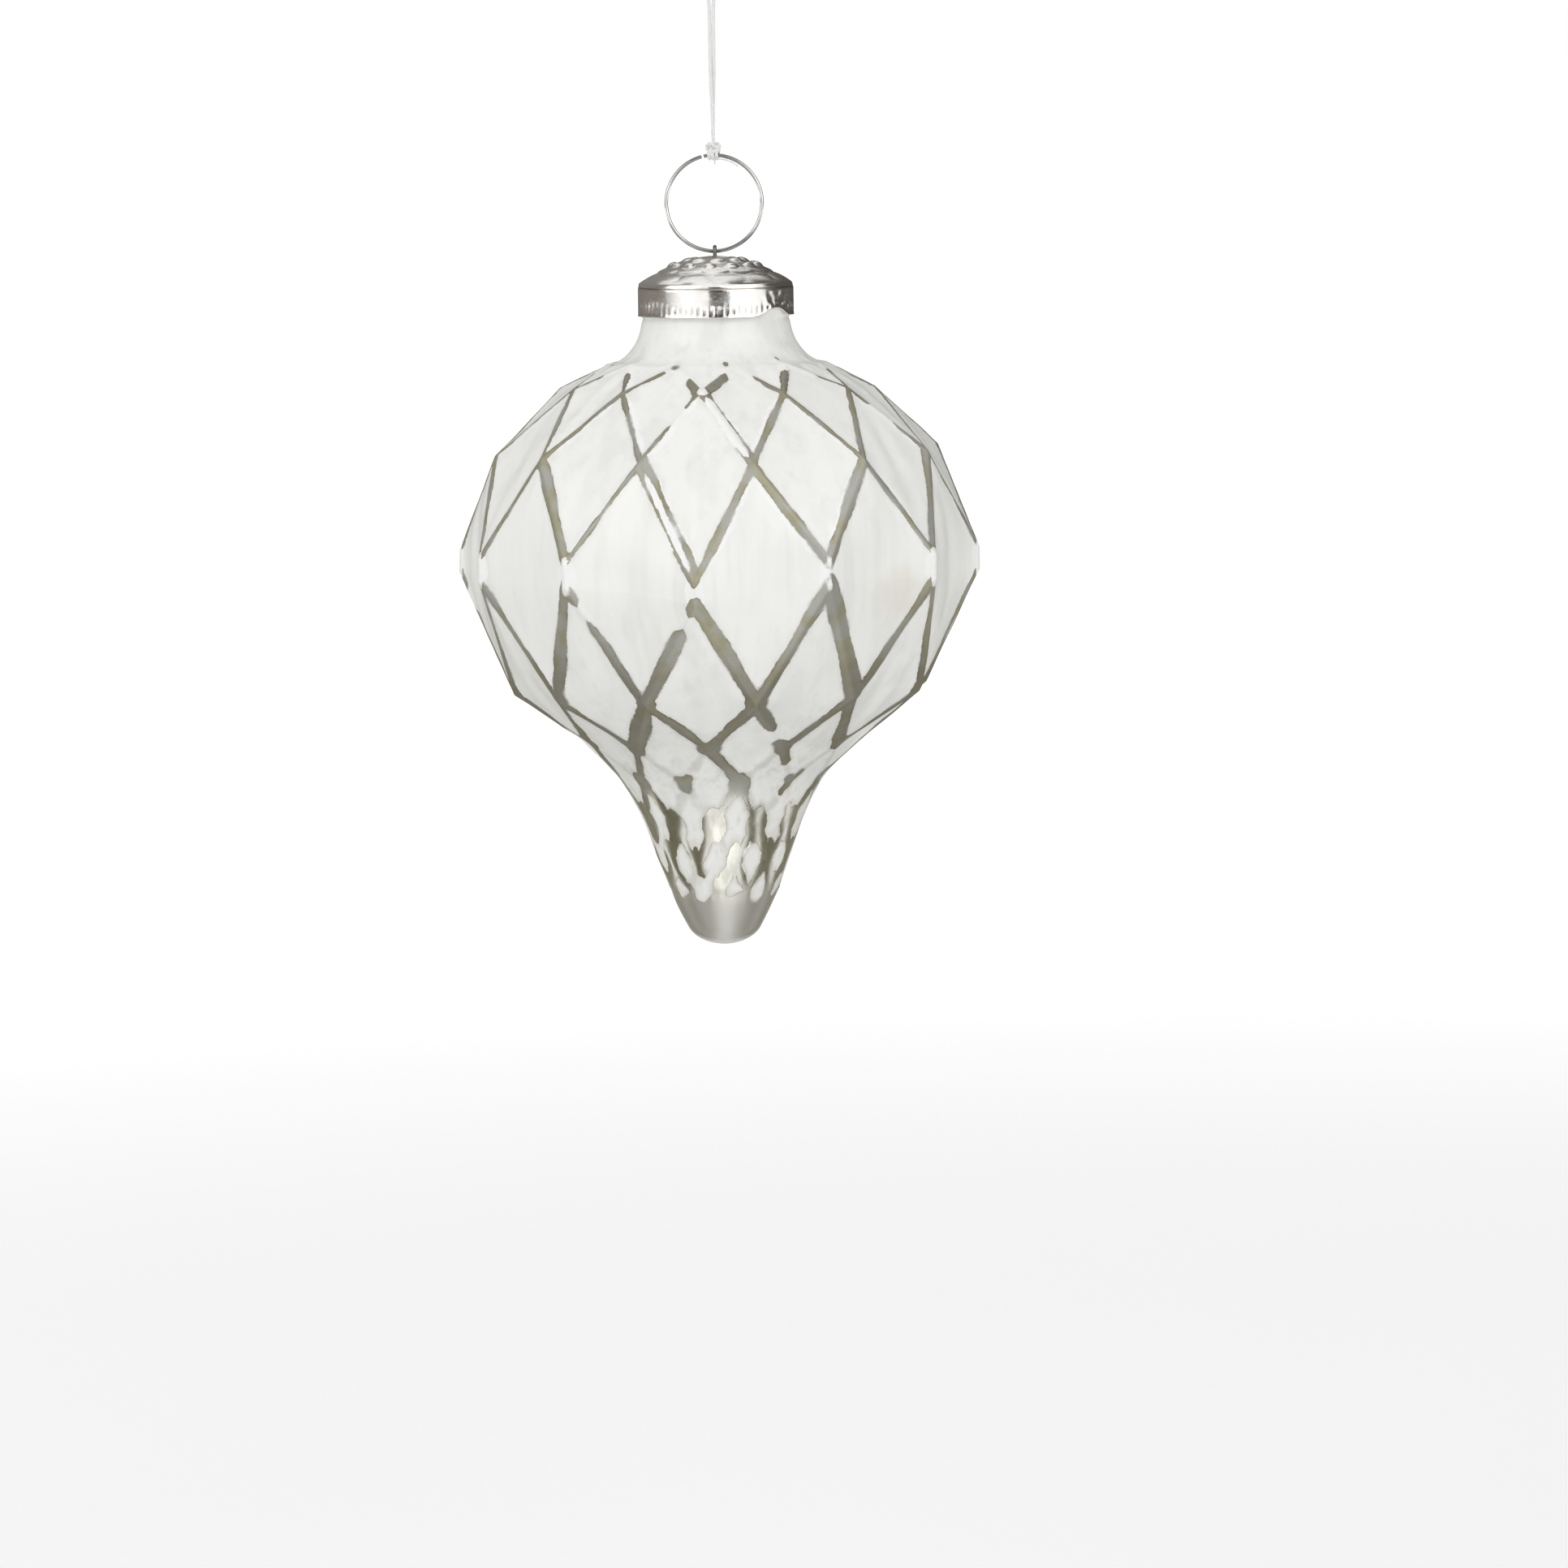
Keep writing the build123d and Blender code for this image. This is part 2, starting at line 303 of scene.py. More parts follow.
@dataclass(frozen=True)
class PaintedGlass:
    """White satin paint over silvered glass, worn off where the mesh's bare attribute is above 0."""

    paint: Colour = (0.935, 0.940, 0.905)
    # A painted highlight, for the whiter bands along the ridges
    painted_highlight_colour: Colour = (0.975, 0.975, 0.960)
    # Grey for specks and real tone, also painted shade along bare edges and in folds
    grey_and_shade: Colour = (0.64, 0.635, 0.60)
    # Smear for the neck's smears and the leaves' strokes, also painted shade between the leaves
    smear_and_shade: Colour = (0.60, 0.60, 0.565)
    stain: Colour = (0.83, 0.78, 0.70)
    cream: Colour = (0.80, 0.775, 0.66)
    khaki: Colour = (0.370, 0.350, 0.245)
    pewter: Colour = (0.415, 0.410, 0.375)
    umber: Colour = (0.185, 0.165, 0.120)
    silver: Colour = (0.82, 0.81, 0.75)
    satin: Colour = (0.665, 0.655, 0.62)
    stain_at: Point = (29.4, -28.6, -4.0)  # from the middle of the widest row
    paint_roughness: float = 0.36
    silver_roughness: float = 0.52
    cone_roughness: float = 0.17
    tip_roughness: float = 0.27  # that the satin tip adds to the cone's
    coat_roughness: float = 0.16

    # Heights over which a look sets in, from none to full, above the widest row
    lower_half: Span = (-8.0, -46.0)
    # Heights of the painted shade under the belly, where the silver is darkest
    belly_shade: Span = (-9.0, -19.0)
    belly_shade_end: Span = (-36.0, -30.0)
    leaf_streaks: Span = (-22.0, -32.0)
    leaf_rows: Span = (-24.0, -30.0)
    cone: Span = (-33.0, -38.0)
    bright_cone: Span = (-35.0, -38.5)
    tip: Span = (-49.5, -54.0)
    satin_tip: Span = (-52.0, -55.0)
    shoulder: Span = (22.0, 33.0)
    neck: Span = (27.0, 32.0)

    def material(self, equator: float) -> bpy.types.Material:
        """Makes the material.

        Args:
            equator: Height of the widest row in millimetres.

        Returns:
            The material.
        """
        material, g = new_material("painted_glass")
        height = g.axis("Z") - equator
        ragged = g.noise(4.5, 2.0) * 0.34 + g.noise(0.9, 2.0) * 0.20 + g.noise(0.35, 1.0) * 0.07
        depth = g.attribute("bare") + ragged
        fuzz = g.noise(5.0, 2.0).rise(-0.05, 0.35)
        bare = (depth / (0.09 + fuzz * 0.42) + 0.5).clamped()
        painted = 1.0 - bare
        paint = self.paint_colour(g, height, depth, equator)
        silver = self.silver_colour(g, height, depth)

        polish = height.rise(*self.cone)
        rough = self.silver_roughness - polish * (self.silver_roughness - self.cone_roughness)
        rough = rough + height.rise(*self.tip) * self.tip_roughness + g.noise(1.2, 3.0) * 0.08
        rough = self.paint_roughness + (rough - self.paint_roughness) * bare
        rough = rough + painted * g.noise(2.0, 3.0) * 0.05
        brushed = g.noise(1.1, 3.0) * 0.10 + g.noise(0.25, 2.0) * 0.05
        film = painted * (0.7 + depth.rise(0.0, -0.9) * 0.3 + brushed)
        g.principled({
            "Base Color": g.blend(bare, paint, silver),
            "Metallic": bare * (0.50 + polish * 0.50),
            "Roughness": rough,
            "Coat Weight": painted * 0.35,
            "Coat Roughness": self.coat_roughness,
            "Normal": g.grain(film, 0.12),
        })
        return material

    def paint_colour(self, g: Graph, height: Value, depth: Value, equator: float) -> Socket:
        """The paint: a painted highlight along the ridges, painted shade in its folds, at its bare edges and
        between the lower leaves, thin and streaked in the panels, smeared on the neck.

        Args:
            g: The material's graph.
            height: Height above the widest row.
            depth: How far inside a bare line a point is, below 0 on paint.
            equator: Height of the widest row in millimetres.

        Returns:
            Its colour.
        """
        low, leafy = height.rise(*self.lower_half), height.rise(*self.leaf_rows)
        # Greyer paint: thinner paint and painted shade along the bare edges, the shade strongest on the
        # leaves of the lower rows; painted shade in soft upright fold bands; cloudy and streaked tone; and
        # greyer towards the bottom
        streaks = g.noise(1.7, 3.0, (1.0, 1.0, 0.08), warp=0.2).rise(-0.05, 0.50)
        folds = g.noise(4.5, 2.0, (1.0, 1.0, 0.10)).rise(0.00, 0.30)
        clouds = g.noise(7.0, 3.0, warp=0.6).rise(-0.15, 0.7)
        fringe = depth.rise(-0.9, 0.0)
        greyed = fringe * (0.12 + leafy * 0.28) + clouds * (0.05 + low * 0.16)
        greyed = greyed + streaks * 0.13 + folds * 0.15 + low * 0.10
        paint = g.blend(greyed.clamped(), self.paint, self.grey_and_shade)
        paint = g.blend(depth.rise(-0.42, -0.05) * (0.16 + low * 0.40), paint, self.cream)

        # Painted highlight: whiter paint in bands along the ridges, left off the lower half
        highlight_band = g.attribute("painted_highlight") + g.noise(2.2, 3.0) * 0.7
        highlight_band = highlight_band.rise(-0.12, 0.10) * (1.0 - low) * (0.75 + g.noise(1.3, 2.0).rise(-0.2, 0.3) * 0.25)
        paint = g.blend(highlight_band, paint, self.painted_highlight_colour)
        # Painted shade along the covered ridges between the leaves of the lower rows
        painted_seam_shade = g.attribute("ridge") + g.noise(2.6, 3.0, warp=0.6) * 0.9
        painted_seam_shade = painted_seam_shade.rise(0.95, 0.05) * g.noise(5.0, 1.0).rise(-0.30, 0.10)
        paint = g.blend(painted_seam_shade * (0.04 + leafy * 0.55), paint, self.smear_and_shade)

        marbled = g.noise(3.0, 3.0, (1.0, 1.0, 0.40), warp=0.9).rise(0.04, 0.50)
        bands = g.noise(8.0, 2.0, (0.6, 0.6, 1.6), warp=0.5).rise(0.0, 0.45)
        paint = g.blend(height.rise(*self.neck) * (marbled * 0.22 + bands * 0.10), paint, self.smear_and_shade)
        strokes = g.noise(1.6, 4.0, (1.0, 1.0, 0.28), warp=1.0).rise(0.0, 0.55)
        paint = g.blend(height.rise(*self.leaf_streaks) * strokes * 0.45, paint, self.smear_and_shade)
        x, y, z = self.stain_at
        spots = {0: g.position(), 1: (x, y, z + equator)}
        near = g.value("ShaderNodeVectorMath", "Value", {"operation": "DISTANCE"}, spots)
        paint = g.blend((near + g.noise(4.0, 3.0) * 3.0).rise(6.5, 2.5) * 0.55, paint, self.stain)
        specks = g.noise(0.7, 1.0).rise(0.70, 0.78) * 0.6
        return g.blend(specks, paint, self.grey_and_shade)

    def silver_colour(self, g: Graph, height: Value, depth: Value) -> Socket:
        """The silvering: khaki and pewter on the ridges, darkest under the belly with painted shade, bright
        on the cone.

        Args:
            g: The material's graph.
            height: Height above the widest row.
            depth: How far inside a bare line a point is.

        Returns:
            Its colour.
        """
        silver = g.blend(g.noise(5.0, 2.0).rise(-0.20, 0.20), self.khaki, self.pewter)
        rim = depth.rise(0.42, 0.05) * g.noise(3.5, 1.0).rise(-0.10, 0.25)
        # Painted shade: the silver darkest under the belly, where it faces down
        belly_shade = height.rise(*self.belly_shade) * height.rise(*self.belly_shade_end)
        dark = rim * 0.45 + belly_shade * 0.62 + height.rise(*self.shoulder) * 0.55
        dark = dark + g.noise(1.3, 3.0).rise(0.1, 0.7) * 0.25
        silver = g.blend(dark.clamped(), silver, self.umber)
        streaks = g.noise(1.4, 3.0, (1.0, 1.0, 0.2)).rise(-0.2, 0.3)
        silver = g.blend(height.rise(*self.bright_cone) * (0.72 + streaks * 0.28), silver, self.silver)
        satin = height.rise(*self.satin_tip) * (1.0 - g.noise(3.0, 3.0).rise(0.0, 0.6) * 0.3)
        return g.blend(satin, silver, self.satin)


@dataclass(frozen=True)
class StampedTin:
    """Bright plated tin, dull and dark in its hollows: tarnish there, and painted shade in the groove under
    the dome's edge.
    """

    bright: Colour = (0.90, 0.88, 0.85)
    dull: Colour = (0.30, 0.27, 0.235)
    roughness: float = 0.15

    def material(self) -> bpy.types.Material:
        """Makes the material.

        Returns:
            The material.
        """
        material, g = new_material("stamped_tin")
        tarnish_and_shade, dome = g.attribute("tarnish_and_shade"), g.attribute("dome")
        tarnish = g.noise(1.6, 3.0).rise(0.0, 0.7)
        # Dull, dark tin where the mesh marks tarnish in the hollows and painted shade in the groove under the
        # dome's edge
        dull = tarnish_and_shade.rise(0.15, 0.9) * 0.45 + tarnish_and_shade.rise(1.0, 1.7) * 0.5
        dull = (dull + tarnish * 0.14 + tarnish_and_shade.clamped() * tarnish * 0.25).clamped()
        ripple = g.noise(2.6, 2.0) * 0.5 + g.noise(0.35, 2.0) * 0.06
        smudges = g.noise(0.5, 3.0).rise(0.0, 0.8)
        g.principled({
            "Base Color": g.blend(dull, self.bright, self.dull),
            "Metallic": 1.0,
            "Roughness": self.roughness + dome * 0.08 + dull * 0.20 + smudges * 0.07,
            "Normal": g.grain(ripple, 0.05),
        })
        return material


@dataclass(frozen=True)
class DrawnSteel:
    """Drawn steel wire with faint marks of its die and of handling."""

    bright: Colour = (0.70, 0.69, 0.67)
    dull: Colour = (0.20, 0.19, 0.175)
    roughness: float = 0.16
    darker_top_and_bottom: Span = (3.2, 7.0)  # height above or below the ring's middle over which it dulls

    def material(self, name: str, middle: float) -> bpy.types.Material:
        """Makes the material.

        Args:
            name: The material's name.
            middle: Height of the ring's middle in millimetres, whose top and bottom are dulled.

        Returns:
            The material.
        """
        material, g = new_material(name)
        # Darker towards the ring's top and bottom
        darker_top_and_bottom = abs(g.axis("Z") - middle + g.noise(6.0, 2.0) * 3.0).rise(*self.darker_top_and_bottom)
        handled = g.noise(2.6, 2.0).rise(0.0, 0.6)
        scratches = g.noise(0.25, 3.0, (1.0, 0.3, 1.0)).rise(0.2, 0.7)
        dulled = (darker_top_and_bottom * 0.80 + handled * 0.30 + scratches * 0.10).clamped()
        g.principled({
            "Base Color": g.blend(dulled, self.bright, self.dull),
            "Metallic": 1.0,
            "Roughness": self.roughness + handled * 0.08 + scratches * 0.05,
            "Normal": g.grain(g.noise(1.5, 2.0), 0.010),
        })
        return material


@dataclass(frozen=True)
class CottonThread:
    """White cotton yarn, greyer between its plies."""

    fibre: Colour = (0.95, 0.95, 0.935)
    shade: Colour = (0.72, 0.715, 0.695)
    roughness: float = 0.85

    def material(self) -> bpy.types.Material:
        """Makes the material.

        Returns:
            The material.
        """
        material, g = new_material("cotton_thread")
        fluff = g.noise(0.10, 3.0)
        shaded = (fluff.rise(0.0, 0.8) * 0.25 + g.noise(0.8, 2.0).rise(0.1, 0.8) * 0.25).clamped()
        g.principled({
            "Base Color": g.blend(shaded, self.fibre, self.shade),
            "Roughness": self.roughness + fluff * 0.08,
            "Sheen Weight": 0.25,
            "Sheen Roughness": 0.5,
            "Normal": g.grain(fluff, 0.05),
        })
        return material


# ---- Mesh work ----


def deselect() -> None:
    """Leaves object mode with nothing selected."""
    if bpy.context.object is not None and bpy.context.object.mode != "OBJECT":
        bpy.ops.object.mode_set(mode="OBJECT")
    bpy.ops.object.select_all(action="DESELECT")


def activate(piece: Piece) -> None:
    """Selects one piece alone and makes it active.

    Args:
        piece: The piece.
    """
    deselect()
    piece.select_set(True)
    bpy.context.view_layer.objects.active = piece


def edit(piece: Piece, kind: str, action: str = "SELECT") -> None:
    """Opens a piece for editing.

    Args:
        piece: The piece.
        kind: VERT, EDGE or FACE, by which it is edited.
        action: SELECT to start with all selected, DESELECT with nothing.
    """
    activate(piece)
    bpy.ops.object.mode_set(mode="EDIT")
    bpy.ops.mesh.select_mode(type=kind)
    bpy.ops.mesh.select_all(action=action)


def close_edit() -> None:
    """Goes back to object mode."""
    bpy.ops.object.mode_set(mode="OBJECT")


def select_edges(piece: Piece, wanted: Callable[[bmesh.types.BMEdge], bool]) -> None:
    """Selects some edges of a piece that is open for editing.

    Args:
        piece: The piece.
        wanted: Whether an edge is selected.
    """
    mesh = bmesh.from_edit_mesh(piece.data)
    for edge in mesh.edges:
        if wanted(edge):
            edge.select_set(True)
    bmesh.update_edit_mesh(piece.data)


def apply_modifier(piece: Piece, kind: str, **settings: object) -> None:
    """Adds a modifier and applies it.

    Args:
        piece: The piece.
        kind: The modifier's type.
        **settings: Its settings.
    """
    activate(piece)
    modifier = piece.modifiers.new(kind.lower(), kind)
    for name, setting in settings.items():
        setattr(modifier, name, setting)
    bpy.ops.object.modifier_apply(modifier=modifier.name)


def start_ring(name: str, count: int, radius: float, height: float, turn: float = 0.0) -> Piece:
    """Adds a level ring of edges round Z, open for editing with all of it selected.

    Args:
        name: The piece's name.
        count: Vertices in the ring.
        radius: Its radius in metres.
        height: Its height in metres.
        turn: Turn about Z of its first vertex in radians.

    Returns:
        The piece.
    """
    deselect()
    bpy.ops.mesh.primitive_circle_add(
        vertices=count, radius=radius, location=(0.0, 0.0, height), rotation=(0.0, 0.0, turn)
    )
    piece = bpy.context.object
    piece.name = piece.data.name = name
    bpy.ops.object.transform_apply(location=True, rotation=True, scale=True)
    edit(piece, "EDGE")
    return piece


def grow_ring(rise: float, scale: float, turn: float = 0.0) -> None:
    """Extrudes the selected ring of edges to the next ring of a turned shape.

    Args:
        rise: Step along Z in metres.
        scale: The next ring's radius over this one's.
        turn: Turn about Z in radians.
    """
    bpy.ops.mesh.extrude_region_move(TRANSFORM_OT_translate={"value": (0.0, 0.0, rise)})
    bpy.ops.transform.resize(value=(scale, scale, 1.0), center_override=(0.0, 0.0, 0.0))
    if turn:
        bpy.ops.transform.rotate(value=turn, orient_axis="Z", center_override=(0.0, 0.0, 0.0))


def close_up(piece: Piece) -> None:
    """Merges doubles, turns the faces outwards and shades the piece smooth.

    Args:
        piece: The piece.
    """
    edit(piece, "VERT")
    bpy.ops.mesh.remove_doubles(threshold=1e-6)
    bpy.ops.mesh.normals_make_consistent(inside=False)
    close_edit()
    bpy.ops.object.shade_smooth()


def add_object(name: str, data: bpy.types.ID) -> Piece:
    """Adds an object to the scene.

    Args:
        name: Its name.
        data: Its mesh, lamp or camera.

    Returns:
        The object.
    """
    added = bpy.data.objects.new(name, data)
    bpy.context.scene.collection.objects.link(added)
    return added


def read_numbers(items: bpy.types.bpy_prop_collection, name: str, width: int) -> np.ndarray:
    """Reads a number or a vector of every item of a mesh.

    Args:
        items: Its vertices, its normals or an attribute's values.
        name: What is read of each.
        width: How many numbers that is.

    Returns:
        A row of numbers for each item.
    """
    numbers = np.empty(len(items) * width, np.float32)
    items.foreach_get(name, numbers)
    return numbers.reshape(-1, width).astype(float)


def points_of(mesh: bpy.types.Mesh) -> np.ndarray:
    """The places of the mesh's vertices, in rows of x, y, z."""
    return read_numbers(mesh.vertices, "co", 3)


def move_points(mesh: bpy.types.Mesh, points: np.ndarray) -> None:
    """Puts the mesh's vertices at new places."""
    mesh.vertices.foreach_set("co", points.ravel())
    mesh.update()


def keep_number(mesh: bpy.types.Mesh, name: str, values: np.ndarray) -> None:
    """Keeps one number for each vertex, for a material to read."""
    layer = mesh.attributes.get(name) or mesh.attributes.new(name, "FLOAT", "POINT")
    layer.data.foreach_set("value", np.asarray(values, np.float32))


def kept_number(mesh: bpy.types.Mesh, name: str) -> np.ndarray:
    """What keep_number kept for each vertex."""
    return read_numbers(mesh.attributes[name].data, "value", 1)[:, 0]


def smooth(values: np.ndarray | float, low: float, high: float) -> np.ndarray:
    """A smooth step from 0 at low to 1 at high."""
    t = np.clip((np.asarray(values, float) - low) / (high - low), 0.0, 1.0)
    return t * t * (3.0 - 2.0 * t)


def hump(values: np.ndarray, middle: float, width: float, power: float = 2.0) -> np.ndarray:
    """A soft hump: 1 at the middle, 1/e at its width to either side."""
    return np.exp(-((np.abs(values - middle) / width) ** power))


def dress(piece: Piece, material: bpy.types.Material, body: str, node: str) -> None:
    """Gives a piece its material and body, and hides the CAD node that it stands for.

    Args:
        piece: The piece.
        material: Its only material.
        body: The body that it moves with.
        node: The CAD node that it replaces.
    """
    piece.data.materials.clear()
    piece.data.materials.append(material)
    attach(piece, body)
    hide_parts(node)
    LOG.info("%s: %d vertices on %s", piece.name, len(piece.data.vertices), body)


# ---- Glass drop ----


class Side(Enum):
    """Which way an edge of the lattice runs on its way down."""

    LEFT = -1
    RIGHT = 1


LEFT, RIGHT = Side

@dataclass(frozen=True)
class Wear:
    """How the paint is worn along one edge of the lattice, from its upper node down."""

    width: float  # half the bare line's width; below 0 the paint covers the ridge
    covered: Span = (0.0, 0.0)  # share of the edge that paint bridges
    lean: float = 0.0  # how far the line sits to the right of the ridge
    crest: float = -1.0  # half the width of a strip of paint left along the ridge's top
    painted_highlight: float = 0.0  # width of the painted highlight band beside the line, on its right or, below 0, its left


@dataclass(frozen=True)
class Panel:
    """One flat face of the blank, as part of its diamond."""

    row: int  # of the diamond's left and right corners
    left: int  # their places round that row
    right: int
    between: int  # place of its top and bottom corners in the rows above and below
    half: int  # 1 for a diamond's upper half, -1 for its lower, 0 for the strip of the widest row


@dataclass
class GlassDrop:
    """The blown drop: neck, flare, diamond lattice and tip, with its lining."""

    equator: float  # height of the widest row
    first_row: int = 1
    widest: int = 4
    rows: tuple[Span, ...] = (  # height from the widest row and radius of each row of nodes
        (31.7, 17.8), (28.0, 25.3), (17.8, 35.8), (0.0, 41.8), (-20.5, 33.5), (-28.3, 23.0),
        (-34.5, 16.8), (-41.6, 13.1), (-47.5, 11.1), (-52.4, 9.1),
    )
    beyond_top: Span = (36.5, 13.0)  # where the rows would go on past the first and the last
    beyond_bottom: Span = (-57.0, 7.6)
    count: int = 12
    turn: float = -5.7  # azimuth of the first node of the even rows
    upright: float = 3.5  # short ridge at each node of the widest row
    fullness: float = 0.78
    crease: float = 0.6  # how far a panel is folded down its middle, not one soft swell
    blunt: float = 0.06  # how blunt that fold is
    pleat: float = 0.40  # depth of the soft upright pleats in the panels
    cuts: int = 20
    crowd: float = 0.6  # how much the mesh is drawn in to the ridges
    ridge_height: float = 0.21
    ridge_sunk: float = 0.75  # share of the ridge's height that the panels lose
    ridges_end: Span = (-34.0, -24.0)  # heights over which the ridges die out
    facets_end: Span = (-42.0, -27.0)  # and over which the facets melt
    roundness: float = 0.70  # how far the lower cone's facets melt into a circle
    evenness: float = 0.975  # that circle's radius over the nodes' own
    ridge_width: float = 0.75
    neck_radius: float = 12.2
    neck_top: float = 43.2
    neck_wall: float = 1.2
    rim_round: float = 0.5  # height of the rim's rounding
    lining_top: tuple[Span, ...] = ((0.0, 40.0), (0.0, 36.0), (0.0, 33.0), (2.5, 30.2))  # step out, height
    lining_share: float = 0.955  # its radius over its row's, before the wall comes off
    lining_sunk: float = 1.4  # how far it lies below the rows above the widest
    lining_tip: tuple[Span, ...] = ((5.0, -56.8), (2.5, -59.6), (0.4, -60.2))  # radius, height
    flare_radius: float = 6.5
    flare_top: float = 38.0
    flare_angle: float = 72.0
    waist: float = 0.55  # how far the neck draws in under the cap
    tip_radius: float = 6.2
    tip_round: float = 4.3
    tip_arc: Span = (18.0, 88.5)  # angles over which the tip is round
    tip_bulge: float = 0.15
    tip_end: float = -61.8
    rim_band: float = 0.6  # height of the lattice's open rims that smoothing and paint leave out
    waves: Span = (0.08, 0.03)  # height of the slow unevenness and of a finer one
    covered_margin: float = -0.9  # bare margin of a ridge that the paint covers

    # Rounds of smoothing that the ridges below a height get, in pairs of height and rounds
    softened: tuple[tuple[float, int], ...] = ((-27.0, 6), (-31.0, 16), (-35.0, 30))
    node_painted_highlight: float = 1.85  # reach of the painted highlight round the widest row's nodes
    patch_power: float = 2.6  # how squarish the bare patches are; 2 is an ellipse

    # Small worn flecks over the first row: azimuth, height and half width of each
    flecks: tuple[tuple[float, float, float], ...] = (
        (-21.0, 31.7, 0.40), (5.0, 32.1, 0.28), (39.0, 32.7, 0.24), (98.0, 32.2, 0.50),
        (166.0, 31.8, 0.42), (213.0, 32.6, 0.28), (291.0, 31.9, 0.52),
    )
    fleck_height: float = 0.22  # half of it
    seed: int = 12

    # Half the bare line's width along the edges that run down from each row, and the bare patch
    # round its nodes: half its width and half its height
    edge_wear: tuple[float, ...] = (0.42, 0.52, 0.74, 1.12, 1.10, 0.80, 0.60, 0.58, 0.75)
    node_wear: tuple[Span, ...] = (
        (-0.6, 0.6), (0.55, 0.55), (0.75, 0.80), (-0.80, 1.90), (1.90, 1.90), (1.70, 1.60), (1.45, 1.85),
        (1.65, 2.90), (1.30, 3.20), (1.45, 2.90),
    )

    # Nodes that sit off their row: (row, place) to (step round in degrees, step up)
    node_shift: ClassVar[dict[tuple[int, int], Span]] = {
        (4, 0): (0.3, -2.3), (4, 1): (0.0, 0.4), (4, 11): (0.2, 0.2), (3, 11): (0.8, 0.0),
        (9, 11): (-2.4, -0.9), (1, 1): (-1.5, 0.3),
    }

    # Edges and nodes that are worn in their own way
    own_wear: ClassVar[dict[tuple[int, int, Side], Wear]] = {
        (1, 11, RIGHT): Wear(0.65, (0.0, 0.50), -0.65), (1, 0, LEFT): Wear(0.80, (0.0, 0.28), 0.55),
        (1, 1, LEFT): Wear(0.62), (2, 0, RIGHT): Wear(0.95, (0.0, 0.0), 0.15, 0.74, 0.3),
        (2, 0, LEFT): Wear(0.34, (0.30, 0.42), -0.25, painted_highlight=1.0), (2, 11, RIGHT): Wear(0.42, painted_highlight=0.75),
        (2, 11, LEFT): Wear(0.58, painted_highlight=0.5), (2, 1, LEFT): Wear(0.62, painted_highlight=-0.7),
        (2, 1, RIGHT): Wear(0.42, painted_highlight=-0.5), (3, 11, RIGHT): Wear(1.22, (0.0, 0.0), 0.20, 0.55, 0.2),
        (3, 11, LEFT): Wear(0.42, painted_highlight=-0.4), (3, 0, LEFT): Wear(0.74, lean=0.1, painted_highlight=0.6),
        (3, 0, RIGHT): Wear(0.88, lean=-0.2, painted_highlight=-0.7), (3, 1, LEFT): Wear(1.00, painted_highlight=-0.5),
        (3, 1, RIGHT): Wear(0.56, painted_highlight=0.7), (3, 10, RIGHT): Wear(1.00, lean=0.2),
        (3, 10, LEFT): Wear(0.50), (4, 0, RIGHT): Wear(1.25, lean=0.15),
        (4, 0, LEFT): Wear(1.25, (0.13, 0.21)), (4, 1, LEFT): Wear(1.05),
        (4, 1, RIGHT): Wear(1.55, lean=0.2), (4, 2, LEFT): Wear(0.95), (4, 2, RIGHT): Wear(0.95),
        (4, 10, LEFT): Wear(0.90), (4, 10, RIGHT): Wear(0.85), (4, 11, RIGHT): Wear(0.95, (0.18, 0.25)),
        (4, 11, LEFT): Wear(1.20, lean=-0.2), (5, 11, LEFT): Wear(1.60), (5, 11, RIGHT): Wear(1.05),
        (5, 0, LEFT): Wear(1.15), (5, 0, RIGHT): Wear(1.15, (0.62, 0.78)), (5, 1, LEFT): Wear(1.00),
        (5, 10, RIGHT): Wear(0.90), (6, 0, LEFT): Wear(0.55, (0.0, 0.72)), (6, 0, RIGHT): Wear(0.85),
        (6, 11, RIGHT): Wear(0.60, (0.0, 0.76)), (6, 11, LEFT): Wear(0.55), (6, 1, LEFT): Wear(-0.9),
        (6, 1, RIGHT): Wear(0.85, (0.52, 0.80)), (7, 11, LEFT): Wear(-0.9), (7, 11, RIGHT): Wear(-0.9),
        (7, 0, LEFT): Wear(0.32), (7, 0, RIGHT): Wear(0.40), (7, 1, LEFT): Wear(0.50, (0.30, 1.0)),
        (6, 2, LEFT): Wear(0.55, (0.0, 0.66)), (7, 1, RIGHT): Wear(0.40, (0.0, 0.45)),
        (7, 10, RIGHT): Wear(0.55), (8, 0, LEFT): Wear(0.45), (8, 0, RIGHT): Wear(-0.4),
        (8, 1, LEFT): Wear(0.36), (8, 1, RIGHT): Wear(0.65), (8, 11, RIGHT): Wear(0.30),
        (8, 11, LEFT): Wear(0.75), (9, 0, LEFT): Wear(0.85), (9, 0, RIGHT): Wear(0.70),
        (9, 1, LEFT): Wear(0.60), (9, 1, RIGHT): Wear(0.65), (9, 10, LEFT): Wear(0.80),
        (9, 10, RIGHT): Wear(0.40), (9, 11, RIGHT): Wear(0.40, (0.40, 1.0)), (9, 11, LEFT): Wear(-0.4),
    }
